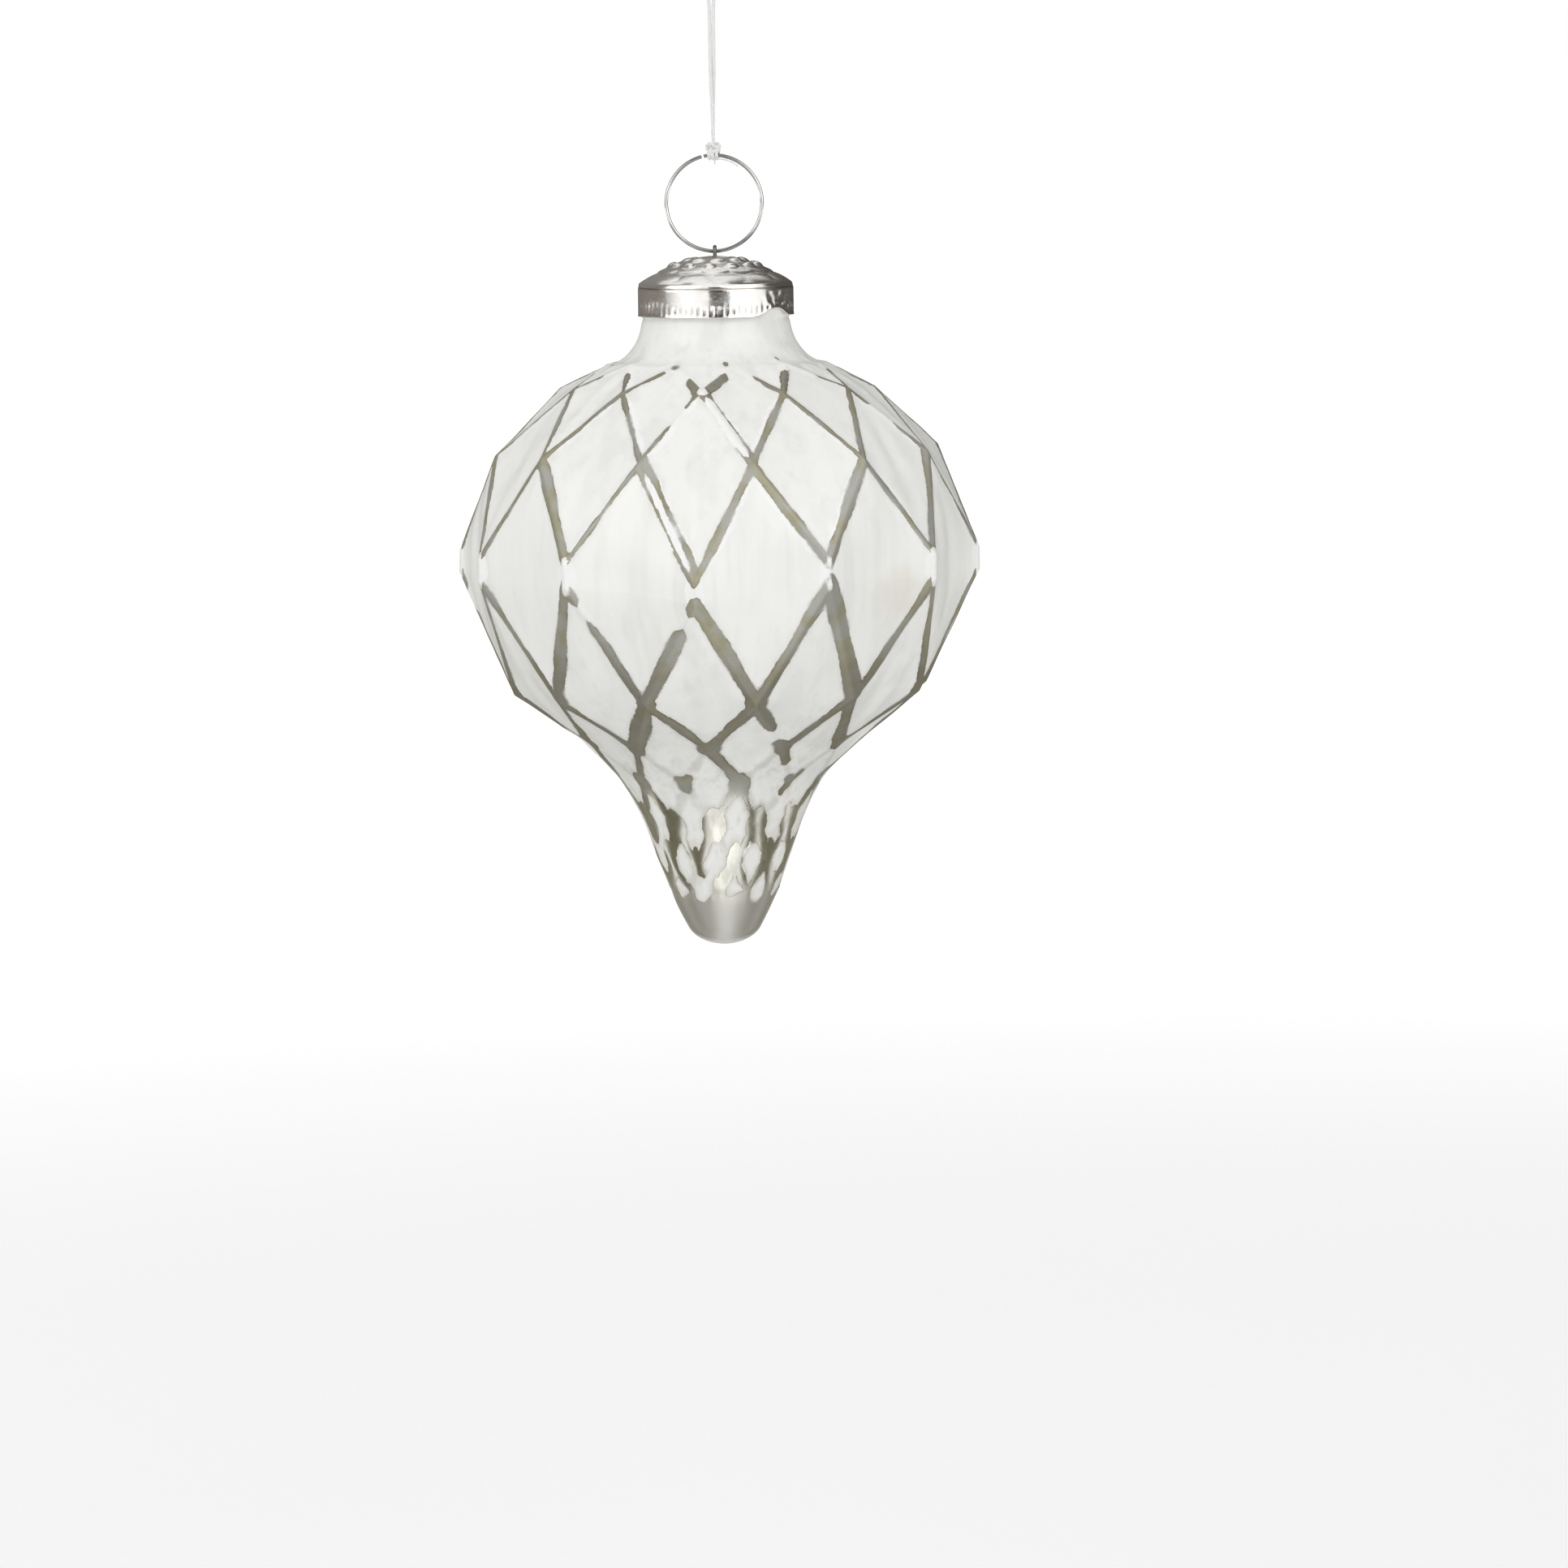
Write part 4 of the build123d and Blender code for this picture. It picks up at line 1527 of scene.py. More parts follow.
@dataclass
class StampedCap:
    """The stamped cap: fluted skirt with its curled edge, shoulder, and dome with its rosette."""

    shoulder: float  # height of the shoulder
    radius: float = 12.45
    skirt: float = 4.9
    edge: float = 0.26  # height of the skirt's curled edge
    wall: float = 0.3
    hole: float = 1.06
    curl: float = 0.10  # how far the skirt draws in at the shoulder
    facets: int = 288
    flutes: int = 72
    flute_height: float = 2.3
    flute_depth: float = 0.09
    dome_rings: int = 48
    dome: tuple[Span, ...] = (  # radius and height above the shoulder
        (12.45, 0.0), (12.38, 0.20), (12.18, 0.42), (11.85, 0.66), (11.3, 0.96), (10.35, 1.46),
        (8.9, 2.15), (7.4, 2.80), (5.6, 3.45), (4.1, 3.90), (2.6, 4.22), (1.06, 4.40),
    )
    bosses: tuple[Boss, ...] = (
        Boss(12, 10.7, 2.75, 1.55, 0.15, 12.0),
        Boss(12, 6.95, 1.25, 0.90, 0.50, -8.0),
        Boss(8, 4.55, 1.45, 1.05, 0.38, 6.0),
    )
    scallops: int = 12  # of the rosette's edge
    scallop_radius: float = 9.35
    scallop_proud: float = 0.22
    dent_at: float = 50.0  # azimuth of the dent in the skirt
    dent_rise: float = 1.35
    dent_width: float = 12.5  # half its width in degrees
    fold_depth: float = 0.055  # of the folds that spread from it
    seed: int = 5

    def height_at(self, radius: float) -> float:
        """Height of the plain dome above the shoulder."""
        radii, rises = (list(v)[::-1] for v in zip(*self.dome))
        return float(np.interp(radius, radii, rises))

    def profile(self) -> list[Span]:
        """The plain cap from the skirt's edge up to the hole.

        Returns:
            Radius and height above the shoulder of each ring.
        """
        foot, curl_foot = -self.skirt, -0.58
        rings = [(self.radius + 0.02, foot), (self.radius + 0.06, foot + 0.12)]
        rings += [(self.radius + 0.02, foot + self.edge)]
        for k in range(1, 17):
            rings.append((self.radius, foot + self.edge + (curl_foot - foot - self.edge) * k / 16))
        for k in range(1, 7):
            drawn_in = self.curl * float(smooth(k / 6, 0.0, 1.0))
            rings.append((self.radius - drawn_in, curl_foot + 0.46 * k / 6))
        start = self.radius - self.curl
        rings += [(start, -0.07)]
        for k in range(1, self.dome_rings + 1):
            radius = start + (self.hole - start) * (k / self.dome_rings) ** 1.25
            rings.append((radius, self.height_at(radius)))
        return rings

    def rosette(self, radius: np.ndarray, around: np.ndarray) -> tuple[np.ndarray, np.ndarray]:
        """The bosses and the scalloped step pressed into the dome.

        Args:
            radius: Radius of each point in millimetres.
            around: Its azimuth in degrees.

        Returns:
            The lift of each point, and how much tarnish darkens the tin there.
        """
        lift, tarnish_and_shade = np.zeros(len(radius)), np.zeros(len(radius))
        for boss in self.bosses:
            step = 360.0 / boss.count
            off = (around - boss.turn + step / 2) % step - step / 2
            gap = np.hypot(np.radians(off) * radius / boss.wide, (radius - boss.radius_at) / boss.deep)
            lift += boss.proud * np.clip(1 - gap**2, 0, None) ** 0.8
            tarnish_and_shade += hump(gap, 1.10, 0.22) * min(0.35, boss.proud)
        step = 360.0 / self.scallops
        off = np.abs((around + step / 2) % step - step / 2)
        edge = self.scallop_radius - 0.60 * (off / (step / 2)) ** 2
        lift += self.scallop_proud * smooth(edge - radius, -0.15, 0.45)
        return lift, tarnish_and_shade + hump(radius, edge + 0.1, 0.25) * self.on_dome(radius) * 0.45

    def on_dome(self, radius: np.ndarray) -> np.ndarray:
        """1 on the dome, easing to 0 at its edge."""
        return smooth(self.radius - radius, 0.15, 0.9)

    def flutes_at(self, around: np.ndarray, up: np.ndarray) -> tuple[np.ndarray, np.ndarray]:
        """The flutes pressed into the skirt.

        Args:
            around: Azimuth of each point in degrees.
            up: Its height above the skirt's edge.

        Returns:
            How deep each point is pressed in, and how much tarnish darkens the tin there.
        """
        rng = np.random.RandomState(self.seed)
        reach = self.flute_height * (0.8 + 0.4 * rng.rand(self.flutes))
        press = self.flute_depth * (0.55 + 0.9 * rng.rand(self.flutes))
        turns = around / (360.0 / self.flutes)
        index = np.floor(turns).astype(int) % self.flutes
        furrow = hump(turns % 1.0, 0.5, 0.16)
        fade = smooth(up, 0.15, 0.45) * (1 - smooth(up, reach[index] * 0.55, reach[index]))
        return furrow * fade * press[index], furrow * fade * 0.8

    def dent(self, around: np.ndarray, up: np.ndarray) -> tuple[np.ndarray, np.ndarray]:
        """The dent in the skirt's edge, and the folds that fan out above it.

        Args:
            around: Azimuth of each point in degrees.
            up: Its height above the skirt's edge.

        Returns:
            The dent, from 0 to 1, and the folds, from -1 to 1.
        """
        dent = hump(around, self.dent_at, self.dent_width, 2.4) * (1 - smooth(up, 0.0, 3.0))
        aside = np.radians(around - self.dent_at) * self.radius
        fan = np.arctan2(aside + 0.2, up + 3.2)
        folds = np.sin(fan * 19.0 + 0.9) * (1 - smooth(np.abs(aside), 1.6, 3.8))
        return dent, folds * smooth(up, 0.7, 1.8) * (1 - smooth(up, 3.1, 4.3))

    def build(self) -> Piece:
        """Makes the cap: a turned shell with its relief pressed in, then its wall.

        Returns:
            The cap, marked for its material.
        """
        profile = [(r * MM, (self.shoulder + z) * MM) for r, z in self.profile()]
        piece = start_ring("stamped_cap", self.facets, *profile[0])
        for (r0, z0), (r1, z1) in zip(profile, profile[1:]):
            grow_ring(z1 - z0, r1 / r0)
        close_edit()
        points = points_of(piece.data) / MM
        radius = np.hypot(points[:, 0], points[:, 1])
        around = np.degrees(np.arctan2(points[:, 0], -points[:, 1]))
        height = points[:, 2] - self.shoulder
        out = points[:, :2] / radius[:, None]

        on_dome = self.on_dome(radius) * (height > -0.2)
        lift, tarnish_and_shade = self.rosette(radius, around)
        height = height + lift * on_dome
        # A dark line painted in the groove under the dome's edge: painted shade
        tarnish_and_shade += hump(height, -0.30, 0.15) * (radius > self.radius - 0.5) * 2.0

        on_skirt = height < -0.5
        up = height + self.skirt
        pressed, furrows = self.flutes_at(around, up)
        dent, folds = self.dent(around, up)
        tarnish_and_shade += furrows * on_skirt
        waver = 0.05 * np.sin(np.radians(around) * 5 + 0.7) * (height < 0.0)
        moved = radius + (0.12 * dent + self.fold_depth * folds - pressed) * on_skirt + waver
        points[:, :2] = out * moved[:, None]
        points[:, 2] = height + dent * on_skirt * self.dent_rise + self.shoulder
        move_points(piece.data, points * MM)
        keep_number(piece.data, "tarnish_and_shade", np.clip(tarnish_and_shade, 0, 2))
        keep_number(piece.data, "dome", on_dome)
        close_up(piece)
        apply_modifier(piece, "SOLIDIFY", thickness=self.wall * MM, offset=-1.0)
        activate(piece)
        bpy.ops.object.shade_smooth()
        return piece


# ---- Thread: loop and knot ----


def frames_along(path: np.ndarray) -> tuple[np.ndarray, np.ndarray]:
    """Carries a pair of square directions along a line, without twisting them about it.

    Args:
        path: Points of the line.

    Returns:
        The first and the second direction at each point.
    """
    run = np.gradient(path, axis=0)
    run /= np.linalg.norm(run, axis=1)[:, None]
    normal = np.cross(run[0], (0.31, 0.91, 0.27))
    first = np.empty_like(run)
    for k, ahead in enumerate(run):
        normal = normal - ahead * (normal @ ahead)
        normal /= np.linalg.norm(normal)
        first[k] = normal
    return first, np.cross(run, first)


def sweep_tube(path: np.ndarray, radius: np.ndarray | float, sides: int) -> Part:
    """A closed round tube along points.

    Args:
        path: Points of its middle line.
        radius: One radius, or one for each point.
        sides: Vertices in a ring.

    Returns:
        Vertices and faces.
    """
    count = len(path)
    first, second = frames_along(path)
    angles = (2 * math.pi * np.arange(sides) / sides)[None, :, None]
    spokes = np.cos(angles) * first[:, None] + np.sin(angles) * second[:, None]
    vertices = path[:, None] + np.broadcast_to(radius, count)[:, None, None] * spokes
    faces = []
    for k in range(count - 1):
        for j in range(sides):
            a, b = k * sides + j, k * sides + (j + 1) % sides
            faces.append((a, b, b + sides, a + sides))
    faces.append(tuple(range(sides))[::-1])
    faces.append(tuple((count - 1) * sides + j for j in range(sides)))
    return vertices.reshape(-1, 3), faces


def join_parts(name: str, parts: Sequence[Part]) -> Piece:
    """Makes one piece of several tubes.

    Args:
        name: The piece's name.
        parts: Vertices in metres and faces of each tube.

    Returns:
        The piece.
    """
    vertices, faces, start = [], [], 0
    for points, own in parts:
        vertices.append(points)
        faces += [tuple(v + start for v in face) for face in own]
        start += len(points)
    mesh = bpy.data.meshes.new(name)
    mesh.from_pydata(np.vstack(vertices).tolist(), [], faces)
    mesh.update()
    piece = add_object(name, mesh)
    close_up(piece)
    return piece


def plies(path: np.ndarray, radius: float, pitch: float, count: int, sides: int = 7) -> list[Part]:
    """Yarn of several plies laid round a middle line.

    Args:
        path: The middle line, in metres.
        radius: Outer radius of the yarn.
        pitch: Length of one turn of a ply.
        count: Number of plies.
        sides: Vertices in a ply's ring.

    Returns:
        Vertices and faces of each ply.
    """
    steps = np.linalg.norm(np.diff(path, axis=0), axis=1)
    along = np.concatenate([[0.0], np.cumsum(steps)])
    fine = np.linspace(0.0, along[-1], max(8, int(along[-1] / (pitch / 14))))
    line = np.stack([np.interp(fine, along, path[:, k]) for k in range(3)], axis=1)
    first, second = frames_along(line)
    ply = radius * 0.56
    parts = []
    for index in range(count):
        angle = 2 * math.pi * (fine / pitch + index / count)[:, None]
        centre = line + (radius - ply) * (np.cos(angle) * first + np.sin(angle) * second)
        swell = ply * (1 + 0.05 * np.sin(fine / pitch * 9.1 + index * 2))
        parts.append(sweep_tube(centre, swell, sides))
    return parts


def drawn_aside(start: np.ndarray, pull: np.ndarray, end: np.ndarray, count: int) -> np.ndarray:
    """Points of the curve from start to end that leaves and arrives in line with pull."""
    t = np.linspace(0, 1, count)[:, None]
    return (1 - t) ** 2 * start + 2 * t * (1 - t) * pull + t**2 * end


def lint(path: np.ndarray, radius: float, count: int, seed: int) -> list[Part]:
    """Loose fibres that stand off a yarn.

    Args:
        path: The yarn's middle line, in metres.
        radius: The yarn's radius.
        count: Number of fibres.
        seed: Seed of their places.

    Returns:
        Vertices and faces of each fibre.
    """
    rng = np.random.RandomState(seed)
    parts = []
    for _ in range(count):
        k = rng.randint(1, len(path) - 1)
        run = path[min(k + 1, len(path) - 1)] - path[k - 1]
        run /= np.linalg.norm(run)
        side = np.cross(run, rng.normal(size=3))
        side /= np.linalg.norm(side)
        reach = rng.uniform(0.15, 0.45) * MM
        lean = run * rng.uniform(-0.4, 0.4) * MM
        start = path[k] + side * radius * 0.6
        pull = start + side * reach * 0.7 + lean * 0.5
        end = start + side * reach * rng.uniform(0.5, 1.1) + lean
        thin = np.linspace(0.022, 0.012, 5) * MM
        parts.append(sweep_tube(drawn_aside(start, pull, end, 5), thin, 4))
    return parts


@dataclass
class ThreadLoop:
    """The cotton loop: its two legs, twisted together once, and the bend over a hook."""

    knot_top: float  # height where both legs leave the knot
    diameter: float = 0.6
    length: float = 72.7
    pitch: float = 1.7  # of its twist
    fibres: int = 70
    leg: tuple[Point, ...] = (
        (0.00, -0.36, 0.0), (-0.04, -0.38, 4.9), (-0.24, -0.24, 9.4), (-0.31, 0.02, 13.9),
        (-0.29, 0.10, 24.4), (-2.35, 0.02, 29.9), (-2.60, 0.00, 34.4),
    )

    def route(self) -> list[Point]:
        """Control points of the loop from one leg's foot to the other's, in metres."""
        near = [(x * MM, y * MM, (self.knot_top + up) * MM) for x, y, up in self.leg]
        return near + [(-x, -y, z) for x, y, z in reversed(near)]

    def line(self) -> np.ndarray:
        """The loop's middle line, read from a NURBS curve through its control points.

        Returns:
            Its points in metres, from the front leg's foot.
        """
        curve = bpy.data.curves.new("loop_route", "CURVE")
        curve.dimensions = "3D"
        curve.resolution_u = 24
        spline = curve.splines.new("NURBS")
        route = self.route()
        spline.points.add(len(route) - 1)
        for point, place in zip(spline.points, route):
            point.co = (*place, 1.0)
        spline.order_u = 3
        spline.use_endpoint_u = True
        holder = bpy.data.objects.new("loop_route", curve)
        mesh = bpy.data.meshes.new_from_object(holder)
        line = points_of(mesh)
        bpy.data.objects.remove(holder)
        bpy.data.curves.remove(curve)
        bpy.data.meshes.remove(mesh)
        if line[0, 1] > line[-1, 1]:
            line = line[::-1]
        return line

    def build(self) -> tuple[Piece, np.ndarray]:
        """Makes the loop.

        Returns:
            The piece and the points that it follows.
        """
        line, radius = self.line(), self.diameter / 2 * MM
        parts = plies(line, radius, self.pitch * MM, 3) + lint(line, radius, self.fibres, 3)
        return join_parts("thread_loop", parts), line

    def declare(self, piece: Piece, line: np.ndarray) -> None:
        """Args:
            piece: The loop. Not used.
            line: The points that it follows.
        """
        [tuple(p) for p in line]


@dataclass
class ThreadKnot:
    """The overhand knot round the ring, with its two cut tails."""

    top: float  # height of the knot's top
    ring: float  # height of the ring's middle
    drop: float = 1.3  # of the knot's middle below its top
    ring_radius: float = 7.65
    width: float = 0.80
    height: float = 1.02
    yarn: float = 0.33  # radius of the yarn in the knot
    pitch: float = 1.4  # of its twist
    tail: float = 0.14  # radius of the tails
    hitches: Point = (-0.60, 0.0, 0.60)  # where the turns round the ring lie
    short_tail: tuple[Point, ...] = ((0.10, -0.3, 7.6), (0.25, -0.5, 6.9), (0.20, -0.4, 6.2))
    long_tail: tuple[Point, ...] = ((0.40, -0.4, 7.0), (2.30, -0.42, 7.1), (3.90, -0.30, 5.85))

    @property
    def middle(self) -> float:
        """Height of the knot's middle."""
        return self.top - self.drop

    def bow(self) -> np.ndarray:
        """The overhand knot's own line: three lobes that pass over and under each other.

        Returns:
            Its points in metres, the first again at the end.
        """
        t = np.linspace(0, 2 * math.pi, 121)[:-1]
        x = (np.sin(t) + 2 * np.sin(2 * t)) / 3
        z = (np.cos(t) - 2 * np.cos(2 * t)) / 3
        y = -np.sin(3 * t)
        points = np.stack([x * self.width * 1.35, y * 0.42, self.middle + z * self.height * 1.3], axis=1) * MM
        return np.vstack([points, points[:1]])

    def hitch(self, shift: float) -> np.ndarray:
        """One turn of thread round the ring's wire.

        Args:
            shift: How far it lies to the right of the knot's middle.

        Returns:
            Its points in metres.
        """
        t = np.linspace(0.0, 2 * math.pi, 33)
        top = self.ring + self.ring_radius
        height = top + 0.10 + 0.66 * np.cos(t)
        return np.stack([shift + 0.12 * np.sin(t), 0.58 * np.sin(t), height], axis=1) * MM

    def belt(self) -> np.ndarray:
        """The turn that draws the knot together round its middle.

        Returns:
            Its points in metres.
        """
        t = np.linspace(0.0, 2 * math.pi, 33)
        height = self.middle - 0.45 + 0.28 * np.cos(t + 0.6)
        return np.stack([0.86 * np.cos(t), 0.64 * np.sin(t), height], axis=1) * MM

    def build(self) -> Piece:
        """Makes the knot.

        Returns:
            The knot.
        """
        yarn, pitch = self.yarn * MM, self.pitch * MM
        bow = self.bow()
        parts = plies(bow, yarn, pitch, 3, 6) + plies(self.belt(), yarn, pitch, 3, 6)
        for shift in self.hitches:
            parts += plies(self.hitch(shift), yarn * 0.92, pitch, 3, 6)
        for tail in (self.short_tail, self.long_tail):
            ends = [np.array((x, y, self.ring + up)) * MM for x, y, up in tail]
            line = drawn_aside(*ends, 16)
            parts += plies(line, self.tail * MM, 0.9 * MM, 2, 5)
            parts += lint(line, 0.13 * MM, 6, 9)
        parts += lint(bow, yarn * 1.6, 24, 8)
        return join_parts("thread_knot", parts)


# ---- Studio ----


def bearing(azimuth: float, rise: float) -> Vector:
    """The direction at an azimuth from the front and an elevation, in degrees."""
    side, up = math.radians(azimuth), math.radians(rise)
    return Vector((math.sin(side) * math.cos(up), -math.cos(side) * math.cos(up), math.sin(up)))


@dataclass(frozen=True)
class Softbox:
    """A soft lamp aimed at the ornament."""

    name: str
    azimuth: float  # from the front, in degrees
    rise: float  # elevation in degrees
    distance: float  # in metres, as its size
    wide: float
    tall: float
    power: float
    mirrored: bool = True  # whether bright metal shows it


@dataclass(frozen=True)
class Flag:
    """A dark board that only mirrors see, as an arc round the ornament."""

    start: float  # azimuths and elevations in degrees
    end: float
    low: float
    high: float
    shade: Colour
    fade: Span = (0.1, 0.1)  # shares of the board, at its start and end, that pale to white
    distance: float = 2.6


@dataclass
class Studio:
    """Camera, floor, lamps and the dark boards that give bright metal its shape."""

    widest: float  # height of the ornament's widest row in millimetres
    view_rise: float = 0.0017  # of the view's middle above it
    distance: float = 1.2
    elevation: float = 4.0
    roll: float = -0.85
    frame_height: float = 0.2512  # of what the camera takes in at the ornament
    shift: Span = (0.0413, -0.1496)
    floor_drop: float = 0.13  # of the floor below the tip
    ambient: float = 0.64
    boxes: tuple[Softbox, ...] = (
        Softbox("box_left", -56.0, 24.0, 1.5, 1.25, 1.2, 5.1),
        Softbox("box_right", 38.0, 24.0, 1.5, 1.35, 1.2, 5.7),
        Softbox("box_back_left", 232.0, 25.0, 1.6, 0.7, 1.2, 3.5, False),
        Softbox("box_back_right", 148.0, 25.0, 1.6, 0.7, 1.2, 0.9, False),
    )
    flags: tuple[Flag, ...] = (
        Flag(-13.0, 21.0, -7.5, 30.0, (0.045, 0.040, 0.035)),
        Flag(-181.0, -50.0, -7.5, 5.0, (0.20, 0.178, 0.155), (0.01, 0.26)),
        Flag(74.0, 179.0, -7.5, 36.0, (0.085, 0.078, 0.070), (0.14, 0.01)),
        Flag(98.0, 168.0, 35.0, 80.0, (0.12, 0.117, 0.112), (0.12, 0.25)),
        Flag(179.0, 300.0, 4.5, 42.0, (0.22, 0.215, 0.205), (0.01, 0.14)),
        Flag(212.0, 300.0, 42.0, 72.0, (0.26, 0.255, 0.245), (0.25, 0.14)),
        Flag(150.0, 214.0, 36.0, 47.0, (0.36, 0.35, 0.335), (0.2, 0.2), 2.7),
        Flag(38.0, 57.0, -78.0, -4.0, (0.17, 0.16, 0.11), (0.18, 0.18), 0.17),
        Flag(61.0, 106.0, -78.0, -4.0, (0.20, 0.19, 0.14), (0.14, 0.10), 0.17),
        Flag(112.0, 160.0, -78.0, -4.0, (0.24, 0.23, 0.18), (0.14, 0.14), 0.17),
        Flag(-60.0, -30.0, -78.0, -4.0, (0.16, 0.15, 0.10), (0.16, 0.16), 0.17),
        Flag(-108.0, -68.0, -78.0, -4.0, (0.17, 0.16, 0.11), (0.10, 0.14), 0.17),
        Flag(-160.0, -114.0, -78.0, -4.0, (0.24, 0.23, 0.18), (0.14, 0.14), 0.17),
        # A bright board, not dark, that glows for mirrors alone: a painted highlight on the lower cone's
        # silver
        Flag(-24.0, 32.0, -57.0, -14.0, (1.30, 1.30, 1.27), (0.25, 0.25), 0.165),
    )

    @property
    def look_at(self) -> Point:
        """The middle of the view, on the ornament's axis."""
        return (0.0, 0.0, self.widest * MM + self.view_rise)

    def place_camera(self) -> None:
        """Sets the camera at its angle, with the shift that the framing needs."""
        data = bpy.data.cameras.new("camera")
        data.sensor_width = 36.0
        data.lens = data.sensor_width * self.distance / self.frame_height
        data.shift_x, data.shift_y = self.shift
        camera = add_object("camera", data)
        back = bearing(0.0, self.elevation)
        camera.location = Vector(self.look_at) + back * self.distance
        aim = (-back).to_track_quat("-Z", "Y")
        aim.rotate(Quaternion(aim @ Vector((0.0, 0.0, 1.0)), math.radians(self.roll)))
        camera.rotation_mode = "QUATERNION"
        camera.rotation_quaternion = aim
        bpy.context.scene.camera = camera

    def place_lamps(self) -> None:
        """Hangs the softboxes."""
        for box in self.boxes:
            data = bpy.data.lights.new(box.name, "AREA")
            data.shape = "RECTANGLE"
            data.size, data.size_y = box.wide, box.tall
            data.energy = box.power
            lamp = add_object(box.name, data)
            away = bearing(box.azimuth, box.rise)
            lamp.location = Vector(self.look_at) + away * box.distance
            lamp.rotation_mode = "QUATERNION"
            lamp.rotation_quaternion = away.to_track_quat("Z", "Y")
            lamp.visible_camera = False
            lamp.visible_glossy = box.mirrored

    def light_world(self) -> None:
        """A white surround to the camera and to mirrors, and a softer light on everything else."""
        world = bpy.data.worlds.new("surround")
        bpy.context.scene.world = world
        g = Graph(world)
        soft, white = (
            g.node("ShaderNodeBackground", None, {"Color": WHITE, "Strength": strength}).outputs[0]
            for strength in (self.ambient, 1.0)
        )
        g.surface(g.node("ShaderNodeMixShader", None, {0: self.seen(g), 1: soft, 2: white}).outputs[0])

    @staticmethod
    def seen(g: Graph) -> Value:
        """Tells rays apart.

        Args:
            g: The graph that asks.

        Returns:
            1 for what the camera, a mirror or clear glass sees, 0 for light on its way elsewhere.
        """
        rays = ("Is Camera Ray", "Is Glossy Ray", "Is Transmission Ray")
        camera, glossy, clear = (g.value("ShaderNodeLightPath", ray) for ray in rays)
        return (camera + glossy + clear).clamped()

    def lay_floor(self, tip: float) -> None:
        """Lays the pale floor: white where it is lit, a little darker in the ornament's shadow.

        Args:
            tip: Height of the ornament's lowest point in metres.
        """
        deselect()
        bpy.ops.mesh.primitive_plane_add(size=40.0, location=(0.0, 0.0, tip - self.floor_drop))
        floor = bpy.context.object
        floor.name = floor.data.name = "floor"
        bpy.ops.object.transform_apply(location=True, rotation=True, scale=True)
        material, g = new_material("pale_floor")
        matte = g.node("ShaderNodeBsdfDiffuse", None, {"Color": (0.80, 0.80, 0.80)}).outputs[0]
        far = g.value("ShaderNodeVectorMath", "Value", {"operation": "LENGTH"}, {0: g.position()})
        nothing, glow = (
            g.node("ShaderNodeEmission", None, {"Color": colour, "Strength": strength}).outputs[0]
            for colour, strength in ((BLACK, 0.0), (WHITE, 0.22 + far.rise(500.0, 1600.0) * 0.38))
        )
        lit = g.node("ShaderNodeMixShader", None, {0: self.seen(g), 1: nothing, 2: glow}).outputs[0]
        g.surface(g.node("ShaderNodeAddShader", None, {0: matte, 1: lit}).outputs[0])
        floor.data.materials.append(material)
        floor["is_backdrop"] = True

    def stand_flags(self) -> None:
        """Stands the dark boards, which only mirrors see."""
        for index, flag in enumerate(self.flags):
            deselect()
            bpy.ops.mesh.primitive_plane_add(size=1.0)
            board = bpy.context.object
            board.name = board.data.name = f"flag_{index}"
            edit(board, "FACE")
            bpy.ops.mesh.subdivide(number_cuts=max(4, int((flag.end - flag.start) / 5)))
            close_edit()
            points = points_of(board.data)
            side = np.radians(flag.start + (points[:, 0] + 0.5) * (flag.end - flag.start))
            rise = np.radians(flag.low + (points[:, 1] + 0.5) * (flag.high - flag.low))
            level = np.cos(rise)
            curve = np.stack([level * np.sin(side), -level * np.cos(side), np.sin(rise)], axis=1)
            move_points(board.data, curve * flag.distance + np.array(self.look_at))
            board.data.materials.append(self.flag_finish(board.name, flag))
            for rays in ("camera", "diffuse", "shadow", "transmission", "volume_scatter"):
                setattr(board, f"visible_{rays}", False)
            board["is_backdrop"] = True

    @staticmethod
    def flag_finish(name: str, flag: Flag) -> bpy.types.Material:
        """Makes a board's material.

        Args:
            name: The material's name.
            flag: The board.

        Returns:
            The material, which pales to white at the board's start and end.
        """
        material, g = new_material(name)
        uv = g.node("ShaderNodeTexCoord").outputs["UV"]
        along = g.value("ShaderNodeSeparateXYZ", "X", None, {"Vector": uv})
        dark = along.rise(0.0, flag.fade[0]) * along.rise(1.0, 1.0 - flag.fade[1])
        colour = g.blend(dark, WHITE, flag.shade)
        g.surface(g.node("ShaderNodeEmission", None, {"Color": colour, "Strength": 1.0}).outputs[0])
        return material

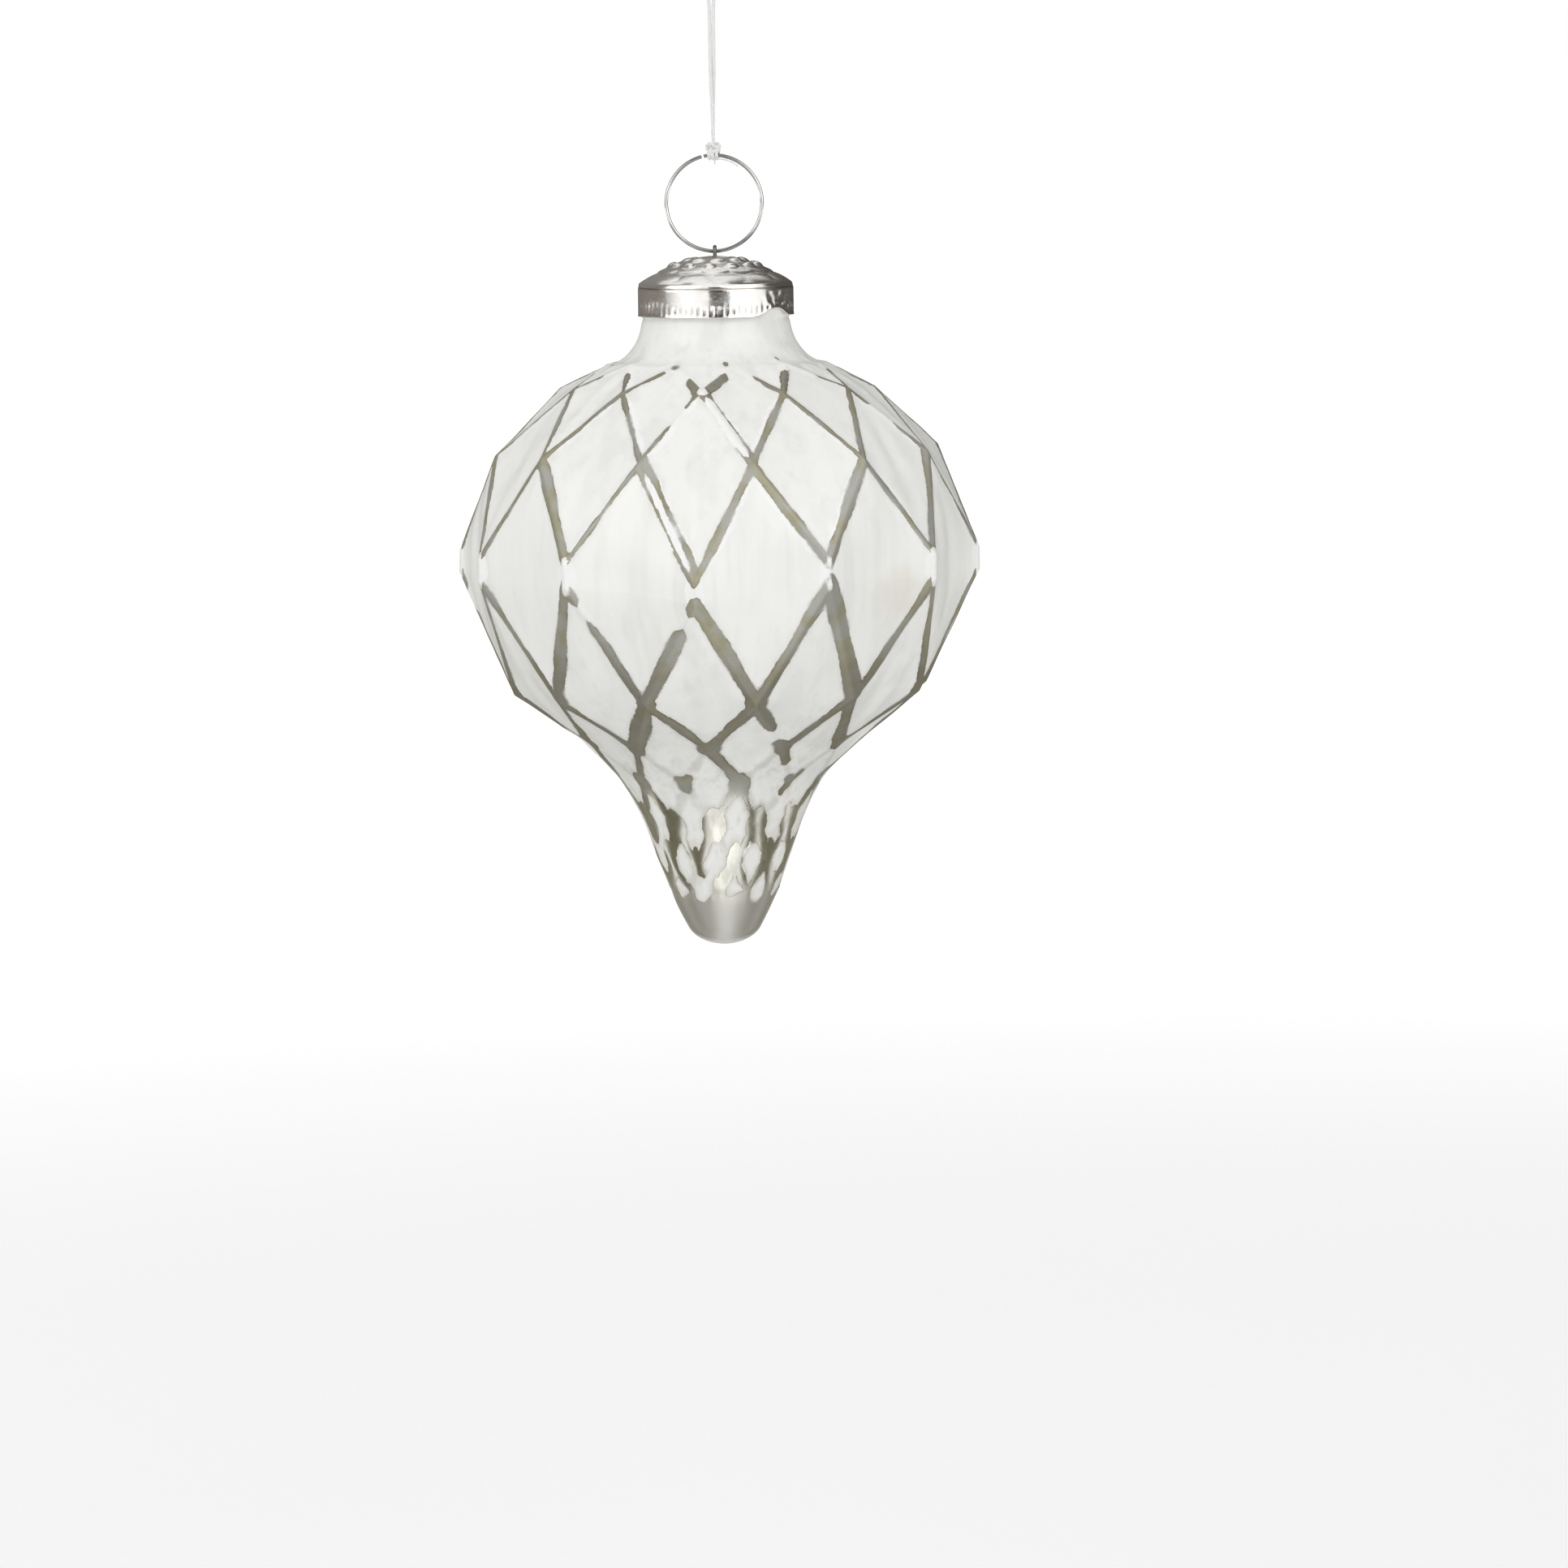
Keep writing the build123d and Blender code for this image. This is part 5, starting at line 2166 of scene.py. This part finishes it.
    def build(self, tip: float) -> None:
        """Lights and furnishes the studio round the finished ornament.

        Args:
            tip: Height of the ornament's lowest point in metres.
        """
        self.place_lamps()
        self.light_world()
        self.lay_floor(tip)
        self.stand_flags()
        bpy.context.scene.view_settings.view_transform = "Standard"


# ---- The whole ornament ----


def write_size(before: tuple[Vector, Vector]) -> None:
    """Logs the CAD model's box and the dressed model's box.

    Args:
        before: Low and high corners of the CAD model.
    """
    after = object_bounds()
    boxes = {"cad": [list(corner) for corner in before], "visual": [list(corner) for corner in after]}
    LOG.info("box before %s, after %s", boxes["cad"], boxes["visual"])


def main() -> None:
    """Builds the ornament piece by piece and reports each."""
    logging.basicConfig(level=logging.INFO, format="%(message)s")
    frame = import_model()
    cad_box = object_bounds()

    glass_low, glass_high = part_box("glass_body")
    cap_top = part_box("metal_cap")[1].z / MM
    knot_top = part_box("ring_knot")[1].z / MM
    ring_middle = sum(corner.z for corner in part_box("hanging_ring")) / 2 / MM
    drop = GlassDrop(equator=glass_high.z / MM - GlassDrop.neck_top)

    studio = Studio(drop.equator)
    studio.place_camera()

    cotton = CottonThread().material()
    loop = ThreadLoop(knot_top)
    thread, line = loop.build()
    dress(thread, cotton, "thread", "cord_loop")
    loop.declare(thread, line)
    knot = ThreadKnot(knot_top, ring_middle).build()
    dress(knot, cotton, "thread", "ring_knot")

    glass = drop.build()
    dress(glass, PaintedGlass().material(drop.equator), "glass", "glass_body")

    cap = StampedCap(shoulder=cap_top - StampedCap.dome[-1][1]).build()
    dress(cap, StampedTin().material(), "cap", "metal_cap")

    steel = DrawnSteel().material("drawn_steel", ring_middle)
    # A darker copy of the same steel for the eye wire: painted shade
    dark = DrawnSteel(bright=(0.30, 0.29, 0.275), dull=(0.12, 0.115, 0.105), roughness=0.30)
    shaded_steel = dark.material("shaded_steel", ring_middle)
    for name, finish in (("eye_wire", shaded_steel), ("hanging_ring", steel)):
        node = frame["nodes"][name]
        node.data.materials.clear()
        node.data.materials.append(finish)
        LOG.info("%s: kept from the model", name)

    studio.build(tip=glass_low.z)
    write_size(cad_box)


if __name__ == "__main__":
    main()
